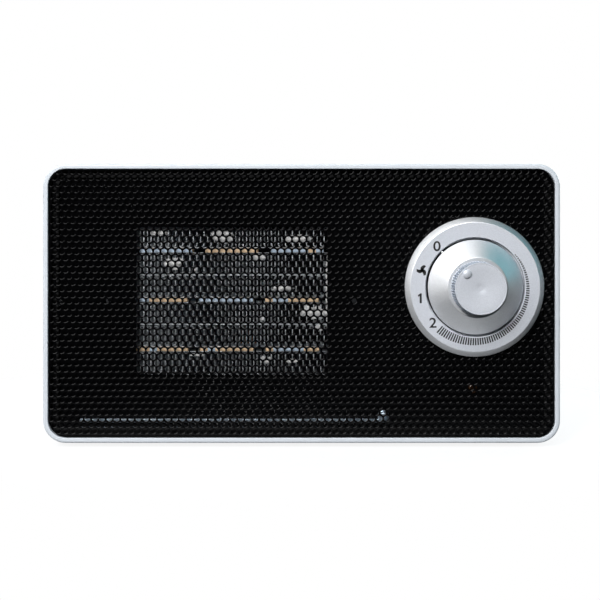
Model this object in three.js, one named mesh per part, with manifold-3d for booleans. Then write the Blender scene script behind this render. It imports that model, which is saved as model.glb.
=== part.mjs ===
// Ceramic (PTC) desktop fan heater: a white moulded casing with a black perforated front,
// a finned ceramic heating element blown through by an axial fan, and a double dial whose
// outer ring picks the heat setting and whose middle knob sets the thermostat.
//
// Units are millimetres. X runs to the right, Y from front to back and Z up. Inside the
// heater group, Y counts from the front rim and Z from the middle of the casing's height.

import * as THREE from "three";
import { mergeVertices } from "three/addons/utils/BufferGeometryUtils.js";
import Module from "manifold-3d";

const wasm = await Module();
wasm.setup();

// ---------------------------------------------------------------- driving dimensions

// Clearances
const SEAT = 0.3; // gap left where one piece rests on, or fits into, another
const RUNNING = 0.4; // gap around a piece that turns or slides

// Casing
const BODY_WIDTH = 265;
const BODY_HEIGHT = 143;
const BODY_DEPTH = 124;
const BODY_CORNER = 11.6;
const WALL = 2.4;
const RIM = 2.6; // width of the white rim around the grille
const FRAME_DEPTH = 24; // front frame, up to the parting line
const LEDGE_WIDTH = 4;
const LEDGE_THICK = 2;
const TONGUE_LENGTH = 5;
const TONGUE_THICK = 1.6;
const COVER_THICK = 2.4;
const COVER_INSET = 3;
const REAR_CLEARANCE = 2.1; // between the motor's shaft and the rear cover

// Front grille and the black baffle behind it
const GRILLE_RECESS = 0.8;
const GRILLE_SHEET = 1;
const GRILLE_FLANGE = 3;
const MESH_SLOT = 3.1; // height of each slot that stands for the fine mesh
const MESH_PITCH = 6.34; // two rows of the fine mesh
const BAFFLE_THICK = 2;
const RETAINER_LENGTH = 157;
const RETAINER_HEIGHT = 2.4;
const RETAINER_THICK = 1.2;
const RETAINER_RISE = 10.5; // above the casing's underside
const RETAINER_EYE_RISE = 2.5; // of the screw's eye above the strip

// Warm-air outlet and heating element
const OUTLET_OFFSET = 36.2; // to the left of the casing's middle
const OUTLET_RISE = 1.3;
const OUTLET_WIDTH = 99;
const OUTLET_HEIGHT = 76.8;
const FIN_LENGTH = 104;
const FIN_HEIGHT = 10.5;
const FIN_THICK = 0.4;
const FIN_PITCH = 3.6;
const ELEMENT_DEPTH = 16;
const ELEMENT_SETBACK = 4; // behind the baffle
const STONE_LENGTH = 28;
const STONE_THICK = 2;
const STONE_PITCH = 34.3;
const STONE_SHIFTS = [-0.6, -3.1, -2.9]; // each row's stones are bonded a little off centre
const ELECTRODE_THICK = 0.5;
const SPACER_THICK = 0.6;
const END_CAP_WIDTH = 5;
const TERMINAL_LENGTH = 12;
const TERMINAL_WIDTH = 6.3;
const TERMINAL_THICK = 0.8;
const TERMINAL_MARGIN = 1; // from the element's back

// Air duct and fan
const DUCT_WALL = 2;
const DUCT_FLANGE = 8;
const SHROUD_RADIUS = 48; // inside
const SHROUD_LENGTH = 26;
const EAR_RADIUS = 5;
const EAR_LAP = 1; // overlap of a screw ear with the shroud's wall
const BLADE_COUNT = 7;
const BLADE_TIP_GAP = 1.6;
const BLADE_CHORD = 24;
const BLADE_THICK = 1.8;
const BLADE_TILT = 38; // degrees
const HUB_RADIUS = 13;
const HUB_LENGTH = 15;
const HUB_SETBACK = 3; // inside the shroud's rear edge
const BLADE_ROOT = 2; // length of a blade's root inside the hub

// Fan motor
const SHAFT_RADIUS = 2;
const SHAFT_END = 4; // shaft beyond the hub and beyond the rear bearing
const ROTOR_RADIUS = 12;
const CORE_WIDTH = 52;
const CORE_ABOVE = 24; // core height above the shaft
const CORE_BELOW = 38; // core height below the shaft
const CORE_STACK = 20;
const CORE_LEG = 14;
const CORE_SLOT_WIDTH = 12;
const CORE_SLOT_HEIGHT = 17;
const CORE_YOKE = 6;
const COIL_BULGE = 6; // of the coil beyond each face of the core
const BRACKET_THICK = 1.5;
const BRACKET_HEIGHT = 14;
const BEARING_RADIUS = 6;
const BEARING_LENGTH = 5;
const MOTOR_GAP = 7; // between a bracket and the core
const BOLT_RADIUS = 1.5;
const BOLT_HEAD_RADIUS = 2.8;
const BOLT_HEAD = 2;
const BOLT_SPREAD = 21; // each side of the shaft

// Dial
const DIAL_INSET = 44; // from the casing's right side
const DIAL_RISE = 8.5;
const BEZEL_RADIUS = 35.7;
const BEZEL_FACE_RADIUS = 33.1;
const BEZEL_HEIGHT = 4;
const BEZEL_EDGE = 1; // height of the bezel's upright edge
const BEZEL_BORE = 25.4;
const BEZEL_SPIGOT_WALL = 2;
const SELECTOR_RADIUS = 24.2;
const SELECTOR_TOP_RADIUS = 15.2;
const SELECTOR_SKIRT = 1.4;
const SELECTOR_HEIGHT = 9;
const SELECTOR_WALL = 1.8;
const POINTER_REACH = 0.8;
const POINTER_WIDTH = 1.2;
const REST_ANGLE = 135; // degrees, where both pointers stand at 0
const KNOB_BASE_RADIUS = 13.6;
const KNOB_FACE_RADIUS = 12.9;
const KNOB_HEIGHT = 11;
const KNOB_WALL = 2;
const KNOB_DISH = 0.8;
const DOT_RADIUS = 2.1;
const DOT_HEIGHT = 1;
const DOT_OFFSET = 10.3;
const SPINDLE_RADIUS = 3;
const SLEEVE_RADIUS = 5.2;
const HUB_WALL = 2;
const SWITCH_RADIUS = 23;
const SWITCH_DEPTH = 14;
const THERMOSTAT_WIDTH = 34;
const THERMOSTAT_HEIGHT = 40;
const THERMOSTAT_DEPTH = 16;

// Small parts
const FOOT_LIFT = 2.2;
const FOOT_RADIUS = 7;
const FOOT_POCKET = 0.8;
const FOOT_SIDE_INSET = 27.5; // from the casing's sides
const FOOT_INSET = 18; // from the casing's back
const FOOT_GAP = 3; // behind the front frame
const SCREW_RADIUS = 1.5;
const SCREW_HEAD_RADIUS = 3;
const SCREW_HEAD = 2;
const SCREW_LENGTH = 12;
const BOSS_RADIUS = 5.5;
const BOSS_INSET = 5.2;
const BOSS_LENGTH = 22;
const LAMP_RADIUS = 2.5;
const LAMP_LENGTH = 12;
const LAMP_DROP = 53; // below the dial's axis
const LAMP_STANDOFF = 1; // of the lens from the baffle's front
const LAMP_FLANGE = 1.5;
const LAMP_FLANGE_THICK = 1.7;
const CUTOUT_RADIUS = 8;
const CUTOUT_HEIGHT = 6;
const CUTOUT_TAB_REACH = 5; // beyond the cut-out's side
const CUTOUT_TAB_WIDTH = 6;
const CUTOUT_TAB_THICK = 1;
const CUTOUT_MARGIN = 1; // between the cut-out and the fan's plate
const BLOCK_WIDTH = 34;
const BLOCK_DEPTH = 16;
const BLOCK_HEIGHT = 14;
const INLET_INSET = 36.5; // from the casing's right side
const INLET_RISE = 29.5; // above the casing's underside
const INLET_BORE = 4;
const INLET_WALL = 2.2;
const INLET_LIP = 2.4;
const INLET_LIP_THICK = 2.6;

// Tip-over switch
const TIP_INSET = 70.5; // from the casing's right side
const TIP_Y = 78; // behind the front rim
const PLUNGER_RADIUS = 3;
const PLUNGER_TRAVEL = 5;
const PLUNGER_COLLAR = 1.8;
const PLUNGER_COLLAR_RADIUS = 5;
const TIP_CASE_WIDTH = 20;
const TIP_CASE_HEIGHT = 26;
const TIP_CASE_WALL = 2;
const SPRING_WIRE = 0.7; // wire diameter
const SPRING_TURNS = 4;

// Rear intake
const SLOT_COUNT = 12;
const SLOT_HEIGHT = 3.8;
const SLOT_PITCH = 7.6;

// Wiring
const LEAD_RADIUS = 1.3;
const LEAD_STRAIGHT = 10; // straight stretch at each end of a lead
const LEAD_RISE = 5; // height of a short lead's arch

// ---------------------------------------------------------------- derived places

const INNER_WIDTH = BODY_WIDTH - 2 * WALL;
const INNER_HEIGHT = BODY_HEIGHT - 2 * WALL;
const INNER_CORNER = BODY_CORNER - WALL;
const OPENING_WIDTH = BODY_WIDTH - 2 * RIM;
const OPENING_HEIGHT = BODY_HEIGHT - 2 * RIM;
const OPENING_CORNER = BODY_CORNER - RIM;
const RIGHT_SIDE = BODY_WIDTH / 2;
const UNDERSIDE = -BODY_HEIGHT / 2;
const FLOOR_TOP = UNDERSIDE + WALL;
const OUTLET_X = -OUTLET_OFFSET;
const DIAL_X = RIGHT_SIDE - DIAL_INSET;
const FOOT_X = RIGHT_SIDE - FOOT_SIDE_INSET;
const INLET_X = RIGHT_SIDE - INLET_INSET;
const INLET_Z = UNDERSIDE + INLET_RISE;
const TIP_X = RIGHT_SIDE - TIP_INSET;
const RETAINER_Z = UNDERSIDE + RETAINER_RISE;
const RETAINER_EYE_Z = RETAINER_Z + RETAINER_EYE_RISE;

const GRILLE_BACK = GRILLE_RECESS + GRILLE_SHEET;
const LEDGE_FRONT = GRILLE_BACK + GRILLE_FLANGE + SEAT;
const LEDGE_BACK = LEDGE_FRONT + LEDGE_THICK;
const BAFFLE_FRONT = LEDGE_BACK + SEAT;
const BAFFLE_BACK = BAFFLE_FRONT + BAFFLE_THICK;
const DUCT_FRONT = BAFFLE_BACK + SEAT;
const ELEMENT_FRONT = BAFFLE_BACK + ELEMENT_SETBACK;
const ELEMENT_BACK = ELEMENT_FRONT + ELEMENT_DEPTH;

// The motor and the fan stand off the rear cover, and the duct reaches from the baffle to them.
const COVER_BACK = BODY_DEPTH - COVER_INSET;
const COVER_FRONT = COVER_BACK - COVER_THICK;
const SHAFT_BACK = COVER_FRONT - REAR_CLEARANCE;
const REAR_STRIP_FRONT = SHAFT_BACK - SHAFT_END - BEARING_LENGTH;
const REAR_STRIP_BACK = REAR_STRIP_FRONT + BRACKET_THICK;
const CORE_BACK = REAR_STRIP_FRONT - MOTOR_GAP;
const CORE_FRONT = CORE_BACK - CORE_STACK;
const BRACKET_BACK = CORE_FRONT - MOTOR_GAP;
const BRACKET_FRONT = BRACKET_BACK - BRACKET_THICK;
const SHROUD_BACK = BRACKET_FRONT - SEAT;
const SHROUD_FRONT = SHROUD_BACK - SHROUD_LENGTH;

const ROW_HEIGHT = STONE_THICK + 2 * ELECTRODE_THICK;
const MODULE_HEIGHT = ROW_HEIGHT + 2 * (FIN_HEIGHT + SEAT);
const MODULE_PITCH = MODULE_HEIGHT + SPACER_THICK + 2 * SEAT;
const ELEMENT_HEIGHT = 3 * MODULE_PITCH - SPACER_THICK - 2 * SEAT;
const DUCT_INNER_WIDTH = FIN_LENGTH + 2 * (END_CAP_WIDTH + 2 * SEAT);
const DUCT_INNER_HEIGHT = ELEMENT_HEIGHT + 2 * SEAT;

const shroudOuter = SHROUD_RADIUS + DUCT_WALL;
const earX = shroudOuter + EAR_RADIUS - EAR_LAP;
const ductHalf = DUCT_INNER_WIDTH / 2 + DUCT_WALL;
const ductScrewX = ductHalf + DUCT_FLANGE / 2;

const SELECTOR_BACK = -BEZEL_HEIGHT + SELECTOR_SKIRT; // behind the bezel's face, in the dial
const SELECTOR_FRONT = -BEZEL_HEIGHT - SELECTOR_HEIGHT;
const KNOB_BACK = SELECTOR_FRONT - RUNNING;
const KNOB_FRONT = KNOB_BACK - KNOB_HEIGHT;
const DIAL_BAFFLE_BACK = BAFFLE_BACK - GRILLE_RECESS; // the baffle's back, in the dial
const SWITCH_FRONT = DIAL_BAFFLE_BACK + SEAT;
const SWITCH_BACK = SWITCH_FRONT + SWITCH_DEPTH;
const THERMOSTAT_FRONT = SWITCH_BACK + SEAT;

const BODY_FRONT_MOST = GRILLE_RECESS + KNOB_FRONT - DOT_HEIGHT;
const BODY_BACK_MOST = Math.max(BODY_DEPTH, COVER_BACK + SEAT + INLET_LIP_THICK);

// ---------------------------------------------------------------- materials

const finish = (color, roughness, metalness = 0) =>
  new THREE.MeshStandardMaterial({ color, roughness, metalness });

const WHITE_ABS = finish(0xe6ebf2, 0.4);
const BLACK_STEEL = finish(0x0b0c0e, 0.45, 0.6);
const BLACK_PBT = finish(0x08090a, 0.7);
const SILVER_PAINT = finish(0xc3c7d0, 0.4, 0.5);
const ALUMINIUM = finish(0x9aa2ac, 0.4, 1);
const CERAMIC = finish(0xb79b78, 0.8);
const STEEL = finish(0xa8abb0, 0.35, 1);
const LAMINATION = finish(0x4b4e54, 0.5, 0.8);
const COPPER_TAPE = finish(0x8a4b1e, 0.5);
const NYLON = finish(0xd9d4c4, 0.6);
const RUBBER = finish(0x1a1a1c, 0.9);
const AMBER = finish(0xd9822b, 0.3);
const PVC_RED = finish(0x9c2620, 0.5);
const PVC_BLUE = finish(0x2a4f8f, 0.5);
const PVC_BLACK = finish(0x151515, 0.5);

// ---------------------------------------------------------------- solids

// A closed solid from a three.js geometry, ready to be joined or cut.
function solid(geometry) {
  if (geometry instanceof wasm.Manifold) return geometry;
  const bare = geometry.clone();
  bare.deleteAttribute("normal");
  bare.deleteAttribute("uv");
  const merged = mergeVertices(bare, 1e-4);
  const mesh = new wasm.Mesh({
    numProp: 3,
    vertProperties: merged.attributes.position.array,
    triVerts: new Uint32Array(merged.index.array),
  });
  return new wasm.Manifold(mesh);
}

function join(...pieces) {
  return pieces.map(solid).reduce((a, b) => a.add(b));
}

function cut(from, ...tools) {
  return tools.map(solid).reduce((a, b) => a.subtract(b), solid(from));
}

// The three.js geometry of a joined or cut solid.
function geometryOf(piece) {
  if (!(piece instanceof wasm.Manifold)) return piece;
  const mesh = piece.getMesh();
  const geometry = new THREE.BufferGeometry();
  geometry.setAttribute("position", new THREE.BufferAttribute(mesh.vertProperties, 3));
  geometry.setIndex(new THREE.BufferAttribute(mesh.triVerts, 1));
  geometry.computeVertexNormals();
  return geometry;
}

function roundedRect(width, height, radius, Kind = THREE.Shape) {
  const x = width / 2;
  const y = height / 2;
  const path = new Kind();
  path.moveTo(radius - x, -y);
  path.lineTo(x - radius, -y);
  path.absarc(x - radius, radius - y, radius, -Math.PI / 2, 0);
  path.lineTo(x, y - radius);
  path.absarc(x - radius, y - radius, radius, 0, Math.PI / 2);
  path.lineTo(radius - x, y);
  path.absarc(radius - x, y - radius, radius, Math.PI / 2, Math.PI);
  path.lineTo(-x, radius - y);
  path.absarc(radius - x, radius - y, radius, Math.PI, 1.5 * Math.PI);
  return path;
}

// A regular polygon with one corner straight up.
function polygon(sides, radius) {
  const points = [];
  for (let i = 0; i < sides; i += 1) {
    const angle = (i * 2 * Math.PI) / sides;
    points.push(new THREE.Vector2(-radius * Math.sin(angle), radius * Math.cos(angle)));
  }
  return new THREE.Shape(points);
}

// A flat outline in X and Z, given its thickness from one Y to another.
function slab(shape, front, back, curveSegments = 4) {
  const depth = back - front;
  const plate = new THREE.ExtrudeGeometry(shape, { depth, bevelEnabled: false, curveSegments });
  return plate.rotateX(Math.PI / 2).translate(0, back, 0);
}

// A rounded rectangular tube running front to back.
function sleeve(width, height, radius, wall, front, back) {
  const shape = roundedRect(width, height, radius);
  const corner = Math.max(radius - wall, 0.5);
  shape.holes.push(roundedRect(width - 2 * wall, height - 2 * wall, corner, THREE.Path));
  return slab(shape, front, back);
}

function block(x0, x1, y0, y1, z0, z1) {
  const box = new THREE.BoxGeometry(x1 - x0, y1 - y0, z1 - z0);
  return box.translate((x0 + x1) / 2, (y0 + y1) / 2, (z0 + z1) / 2);
}

// A round bar along Y, centred on (x, z).
function bar(radius, front, back, x = 0, z = 0, segments = 24) {
  const rod = new THREE.CylinderGeometry(radius, radius, back - front, segments);
  return rod.translate(x, (front + back) / 2, z);
}

// A round bar along Z, centred on (x, y).
function post(radius, bottom, top, x = 0, y = 0, segments = 24) {
  const rod = new THREE.CylinderGeometry(radius, radius, top - bottom, segments);
  return rod.rotateX(Math.PI / 2).translate(x, y, (bottom + top) / 2);
}

// A profile of [radius, y] points turned round the Y axis. A ring's profile closes on itself.
function turned(profile, segments = 48) {
  const points = profile.map(([radius, y]) => new THREE.Vector2(radius, y));
  const area = THREE.ShapeUtils.area(points);
  if (area < 0) points.reverse();
  return new THREE.LatheGeometry(points, segments);
}

function ring(outer, inner, front, back, segments = 48) {
  return turned(
    [
      [outer, front],
      [outer, back],
      [inner, back],
      [inner, front],
      [outer, front],
    ],
    segments,
  );
}

const sides = [-1, 1];
const corners = [
  [-1, -1],
  [1, -1],
  [-1, 1],
  [1, 1],
];

// ---------------------------------------------------------------- assembly helpers

const heater = new THREE.Group();
const middleY = (BODY_FRONT_MOST + BODY_BACK_MOST) / 2;
heater.position.set(0, -middleY, BODY_HEIGHT / 2 + FOOT_LIFT);

const outlet = new THREE.Group();
outlet.position.set(OUTLET_X, 0, OUTLET_RISE);
heater.add(outlet);

const dial = new THREE.Group();
dial.position.set(DIAL_X, GRILLE_RECESS, DIAL_RISE);
heater.add(dial);

function place(group, name, piece, material) {
  const mesh = new THREE.Mesh(geometryOf(piece), material);
  mesh.name = name;
  group.add(mesh);
  return mesh;
}

// A pan-head screw along Y whose head's underside is at y, driven towards the front.
function screw(y, length = SCREW_LENGTH) {
  const shank = bar(SCREW_RADIUS, y - length, y + SCREW_HEAD / 2, 0, 0, 12);
  return join(shank, bar(SCREW_HEAD_RADIUS, y, y + SCREW_HEAD, 0, 0, 16));
}

// ---------------------------------------------------------------- casing

const bossX = INNER_WIDTH / 2 - BOSS_INSET;
const bossZ = INNER_HEIGHT / 2 - BOSS_INSET;
const frameBossX = OPENING_WIDTH / 2 - BOSS_INSET;
const feetY = [FRAME_DEPTH + FOOT_RADIUS + FOOT_GAP, BODY_DEPTH - FOOT_INSET];

// The front frame: rim, side walls and the ledge that carries the grille and the baffle.
function frontFrame() {
  const walls = sleeve(BODY_WIDTH, BODY_HEIGHT, BODY_CORNER, RIM, 0, FRAME_DEPTH);
  const ledge = sleeve(
    OPENING_WIDTH + RIM,
    OPENING_HEIGHT + RIM,
    OPENING_CORNER + RIM / 2,
    LEDGE_WIDTH + RIM / 2,
    LEDGE_FRONT,
    LEDGE_BACK,
  );
  const bosses = sides.map((side) =>
    bar(BOSS_RADIUS, LEDGE_FRONT, LEDGE_BACK, side * frameBossX, 0, 16),
  );
  const holes = sides.map((side) =>
    bar(SCREW_RADIUS + SEAT, LEDGE_FRONT - 1, LEDGE_BACK + 1, side * frameBossX, 0, 12),
  );
  return cut(join(walls, ledge, ...bosses), ...holes);
}

// The main housing: a sleeve with the tongue for the frame, bosses for the rear cover,
// pockets for the feet and the hole for the tip-over plunger.
function mainHousing() {
  const front = FRAME_DEPTH + SEAT;
  const walls = sleeve(BODY_WIDTH, BODY_HEIGHT, BODY_CORNER, WALL, front, BODY_DEPTH);
  const tongueWidth = OPENING_WIDTH - 2 * SEAT;
  const tongueHeight = OPENING_HEIGHT - 2 * SEAT;
  const tongueCorner = OPENING_CORNER - SEAT;
  const tongueFront = front - TONGUE_LENGTH;
  const rootBack = front + TONGUE_THICK;
  const tongue = sleeve(
    tongueWidth, tongueHeight, tongueCorner, TONGUE_THICK, tongueFront, rootBack,
  );
  const root = sleeve(
    INNER_WIDTH + WALL,
    INNER_HEIGHT + WALL,
    INNER_CORNER + WALL / 2,
    (INNER_WIDTH + WALL - tongueWidth) / 2 + TONGUE_THICK,
    front,
    rootBack,
  );
  const bossBack = COVER_FRONT - SEAT;
  const bosses = corners.map(([x, z]) =>
    bar(BOSS_RADIUS, bossBack - BOSS_LENGTH, bossBack, x * bossX, z * bossZ, 16),
  );
  const pilots = corners.map(([x, z]) =>
    bar(SCREW_RADIUS + SEAT, bossBack - SCREW_LENGTH, bossBack + 1, x * bossX, z * bossZ, 12),
  );
  const pockets = feetY.flatMap((y) =>
    sides.map((side) =>
      post(FOOT_RADIUS + SEAT, UNDERSIDE - 1, UNDERSIDE + FOOT_POCKET, side * FOOT_X, y, 20),
    ),
  );
  const plungerHole = post(
    PLUNGER_RADIUS + RUNNING, UNDERSIDE - 1, FLOOR_TOP + 1, TIP_X, TIP_Y, 16,
  );
  return cut(join(walls, tongue, root, ...bosses), ...pilots, ...pockets, plungerHole);
}

// A slot with round ends, cut through the rear cover.
function intakeSlot(x, z, length) {
  const shape = roundedRect(length, SLOT_HEIGHT, SLOT_HEIGHT / 2 - 0.01);
  return slab(shape, COVER_FRONT - 1, COVER_BACK + 1, 1).translate(x, 0, z);
}

// The rear cover, inset in the housing, with the fan's intake slots and the cord inlet's hole.
function rearCover() {
  const plate = slab(
    roundedRect(INNER_WIDTH - 2 * SEAT, INNER_HEIGHT - 2 * SEAT, INNER_CORNER - SEAT),
    COVER_FRONT,
    COVER_BACK,
  );
  const slots = [];
  const reach = SHROUD_RADIUS + SLOT_PITCH / 2;
  for (let i = 0; i < SLOT_COUNT; i += 1) {
    const rise = (i - (SLOT_COUNT - 1) / 2) * SLOT_PITCH;
    const length = 2 * Math.sqrt(reach * reach - rise * rise);
    slots.push(intakeSlot(OUTLET_X, OUTLET_RISE + rise, length));
  }
  const inlet = bar(
    INLET_BORE + INLET_WALL + SEAT, COVER_FRONT - 1, COVER_BACK + 1, INLET_X, INLET_Z, 20,
  );
  const screwHoles = corners.map(([x, z]) =>
    bar(SCREW_RADIUS + SEAT, COVER_FRONT - 1, COVER_BACK + 1, x * bossX, z * bossZ, 12),
  );
  return cut(plate, ...slots, inlet, ...screwHoles);
}

place(heater, "front_frame", frontFrame(), WHITE_ABS);
place(heater, "main_housing", mainHousing(), WHITE_ABS);
place(heater, "rear_cover", rearCover(), WHITE_ABS);

corners.forEach(([x, z], i) => {
  const coverScrew = place(heater, `cover_screw_${i + 1}`, screw(COVER_BACK + SEAT), STEEL);
  coverScrew.position.set(x * bossX, 0, z * bossZ);
});

feetY.forEach((y, row) => {
  sides.forEach((side) => {
    const foot = post(
      FOOT_RADIUS, UNDERSIDE - FOOT_LIFT, UNDERSIDE + FOOT_POCKET - SEAT, side * FOOT_X, y, 20,
    );
    const name = `foot_${row ? "rear" : "front"}_${side < 0 ? "left" : "right"}`;
    place(heater, name, foot, RUBBER);
  });
});

// ---------------------------------------------------------------- grille and baffle

// The grille: a shallow steel pan. Slots in front of the outlet stand for its fine open mesh.
function frontGrille() {
  const width = OPENING_WIDTH - 2 * SEAT;
  const height = OPENING_HEIGHT - 2 * SEAT;
  const corner = OPENING_CORNER - SEAT;
  const sheet = slab(roundedRect(width, height, corner), GRILLE_RECESS, GRILLE_BACK);
  const flangeBack = GRILLE_BACK + GRILLE_FLANGE;
  const flange = sleeve(width, height, corner, GRILLE_SHEET, GRILLE_RECESS, flangeBack);
  const count = Math.floor(OUTLET_HEIGHT / MESH_PITCH);
  const slots = [];
  for (let i = 0; i < count; i += 1) {
    const rise = (i - (count - 1) / 2) * MESH_PITCH;
    slots.push(
      block(
        OUTLET_X - OUTLET_WIDTH / 2,
        OUTLET_X + OUTLET_WIDTH / 2,
        GRILLE_RECESS - 1,
        GRILLE_BACK + 1,
        OUTLET_RISE + rise - MESH_SLOT / 2,
        OUTLET_RISE + rise + MESH_SLOT / 2,
      ),
    );
  }
  const dialHole = bar(
    BEZEL_BORE + BEZEL_SPIGOT_WALL + SEAT, GRILLE_RECESS - 1, GRILLE_BACK + 1, DIAL_X, DIAL_RISE, 48,
  );
  return cut(join(sheet, flange), ...slots, dialHole);
}

// The baffle closes the front off behind the grille, apart from the outlet's window.
function frontBaffle() {
  const plate = slab(
    roundedRect(OPENING_WIDTH - 2 * SEAT, OPENING_HEIGHT - 2 * SEAT, OPENING_CORNER - SEAT),
    BAFFLE_FRONT,
    BAFFLE_BACK,
  );
  const window = block(
    OUTLET_X - OUTLET_WIDTH / 2,
    OUTLET_X + OUTLET_WIDTH / 2,
    BAFFLE_FRONT - 1,
    BAFFLE_BACK + 1,
    OUTLET_RISE - OUTLET_HEIGHT / 2,
    OUTLET_RISE + OUTLET_HEIGHT / 2,
  );
  const through = (radius, x, z, segments = 12) =>
    bar(radius, BAFFLE_FRONT - 1, BAFFLE_BACK + 1, x, z, segments);
  const screwHoles = sides.flatMap((side) => [
    through(SCREW_RADIUS + SEAT, side * frameBossX, 0),
    through(SCREW_RADIUS + SEAT, OUTLET_X + side * ductScrewX, OUTLET_RISE),
  ]);
  return cut(
    plate,
    window,
    through(SLEEVE_RADIUS + RUNNING, DIAL_X, DIAL_RISE, 20),
    through(LAMP_RADIUS + SEAT, DIAL_X, DIAL_RISE - LAMP_DROP, 16),
    through(SCREW_RADIUS + SEAT, OUTLET_X + RETAINER_LENGTH / 2, RETAINER_EYE_Z),
    ...screwHoles,
  );
}

// A bright strip across the foot of the baffle, screwed down through a raised eye at its right.
function retainerBar() {
  const back = BAFFLE_FRONT - SEAT;
  const front = back - RETAINER_THICK;
  const reach = RETAINER_LENGTH / 2;
  const strip = block(-reach, reach, front, back, -RETAINER_HEIGHT / 2, RETAINER_HEIGHT / 2);
  const eye = bar(SCREW_HEAD_RADIUS, front, back, reach, RETAINER_EYE_RISE, 16);
  const hole = bar(SCREW_RADIUS + SEAT, front - 1, back + 1, reach, RETAINER_EYE_RISE, 12);
  return cut(join(strip, eye), hole);
}

function retainerScrew() {
  const seat = BAFFLE_FRONT - RETAINER_THICK - 2 * SEAT;
  const head = bar(SCREW_HEAD_RADIUS, seat - SCREW_HEAD, seat, 0, 0, 16);
  return join(head, bar(SCREW_RADIUS, seat - SCREW_HEAD / 2, BAFFLE_BACK, 0, 0, 12));
}

place(heater, "front_grille", frontGrille(), BLACK_STEEL);
place(heater, "front_baffle", frontBaffle(), BLACK_PBT);
const retainerEnd = OUTLET_X + RETAINER_LENGTH / 2;
place(heater, "retainer_bar", retainerBar(), STEEL).position.set(OUTLET_X, 0, RETAINER_Z);
const retainerFixing = place(heater, "retainer_screw", retainerScrew(), STEEL);
retainerFixing.position.set(retainerEnd, 0, RETAINER_EYE_Z);

sides.forEach((side, i) => {
  const throughLedge = BAFFLE_BACK - LEDGE_FRONT;
  const baffleScrew = screw(BAFFLE_BACK + SEAT, throughLedge);
  place(heater, `baffle_screw_${i + 1}`, baffleScrew, STEEL).position.x = side * frameBossX;
});

const lampFront = BAFFLE_FRONT - SEAT - LAMP_STANDOFF;
const lampFlangeFront = BAFFLE_BACK + SEAT;
const lamp = join(
  bar(LAMP_RADIUS, lampFront, lampFront + LAMP_LENGTH, 0, 0, 20),
  bar(LAMP_RADIUS + LAMP_FLANGE, lampFlangeFront, lampFlangeFront + LAMP_FLANGE_THICK, 0, 0, 20),
);
place(heater, "indicator_lamp", lamp, AMBER).position.set(DIAL_X, 0, DIAL_RISE - LAMP_DROP);

// ---------------------------------------------------------------- heating element

// One corrugated fin strip: a thin band folded up and down along X.
function finStrip() {
  const folds = 2 * Math.floor(FIN_LENGTH / FIN_PITCH);
  const step = FIN_LENGTH / folds;
  const swing = (FIN_HEIGHT - FIN_THICK) / 2;
  const lower = [];
  const upper = [];
  for (let i = 0; i <= folds; i += 1) {
    const x = i * step - FIN_LENGTH / 2;
    const z = i % 2 ? swing : -swing;
    lower.push(new THREE.Vector2(x, z - FIN_THICK / 2));
    upper.unshift(new THREE.Vector2(x, z + FIN_THICK / 2));
  }
  const shape = new THREE.Shape([...lower, ...upper]);
  return slab(shape, ELEMENT_FRONT, ELEMENT_BACK);
}

// One heating row: three ceramic stones bonded between two electrode strips, of which the
// upper one runs out at the right as the terminal.
function stoneRow(shift) {
  const strip = (x0, x1, y0, y1, z, thick) => block(x0, x1, y0, y1, z - thick / 2, z + thick / 2);
  const half = FIN_LENGTH / 2;
  const offset = (STONE_THICK + ELECTRODE_THICK) / 2;
  const electrodes = [offset, -offset].map((z) =>
    strip(-half, half, ELEMENT_FRONT, ELEMENT_BACK, z, ELECTRODE_THICK),
  );
  const stones = [-1, 0, 1].map((i) => {
    const middle = i * STONE_PITCH + shift;
    const reach = STONE_LENGTH / 2;
    return strip(middle - reach, middle + reach, ELEMENT_FRONT, ELEMENT_BACK, 0, STONE_THICK);
  });
  const terminal = strip(
    half - 1, terminalEnd, terminalFront, terminalFront + TERMINAL_WIDTH, terminalZ, TERMINAL_THICK,
  );
  return join(...electrodes, ...stones, terminal);
}

const terminalEnd = FIN_LENGTH / 2 + END_CAP_WIDTH + DUCT_WALL + TERMINAL_LENGTH;
const terminalFront = ELEMENT_BACK - TERMINAL_WIDTH - TERMINAL_MARGIN;
const terminalZ = ROW_HEIGHT / 2 - TERMINAL_THICK / 2;
const rowZ = [1, 0, -1].map((i) => i * MODULE_PITCH);
const finOffset = ROW_HEIGHT / 2 + SEAT + FIN_HEIGHT / 2;
rowZ.forEach((z, i) => {
  place(outlet, `ptc_row_${i + 1}`, stoneRow(STONE_SHIFTS[i]), CERAMIC).position.z = z;
  place(outlet, `fin_strip_${i + 1}_upper`, finStrip(), ALUMINIUM).position.z = z + finOffset;
  place(outlet, `fin_strip_${i + 1}_lower`, finStrip(), ALUMINIUM).position.z = z - finOffset;
});

const spacer = block(
  -FIN_LENGTH / 2, FIN_LENGTH / 2, ELEMENT_FRONT, ELEMENT_BACK, -SPACER_THICK / 2, SPACER_THICK / 2,
);
place(outlet, "spacer_plate_upper", spacer, ALUMINIUM).position.z = MODULE_PITCH / 2;
place(outlet, "spacer_plate_lower", spacer.clone(), ALUMINIUM).position.z = -MODULE_PITCH / 2;

// Each end cap clamps the stack; the right one has slots that the terminals pass through.
const capX = FIN_LENGTH / 2 + SEAT + END_CAP_WIDTH / 2;
function endCap(side) {
  const half = ELEMENT_HEIGHT / 2;
  const x0 = side * capX - END_CAP_WIDTH / 2;
  return block(x0, x0 + END_CAP_WIDTH, ELEMENT_FRONT, ELEMENT_BACK, -half, half);
}

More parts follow.
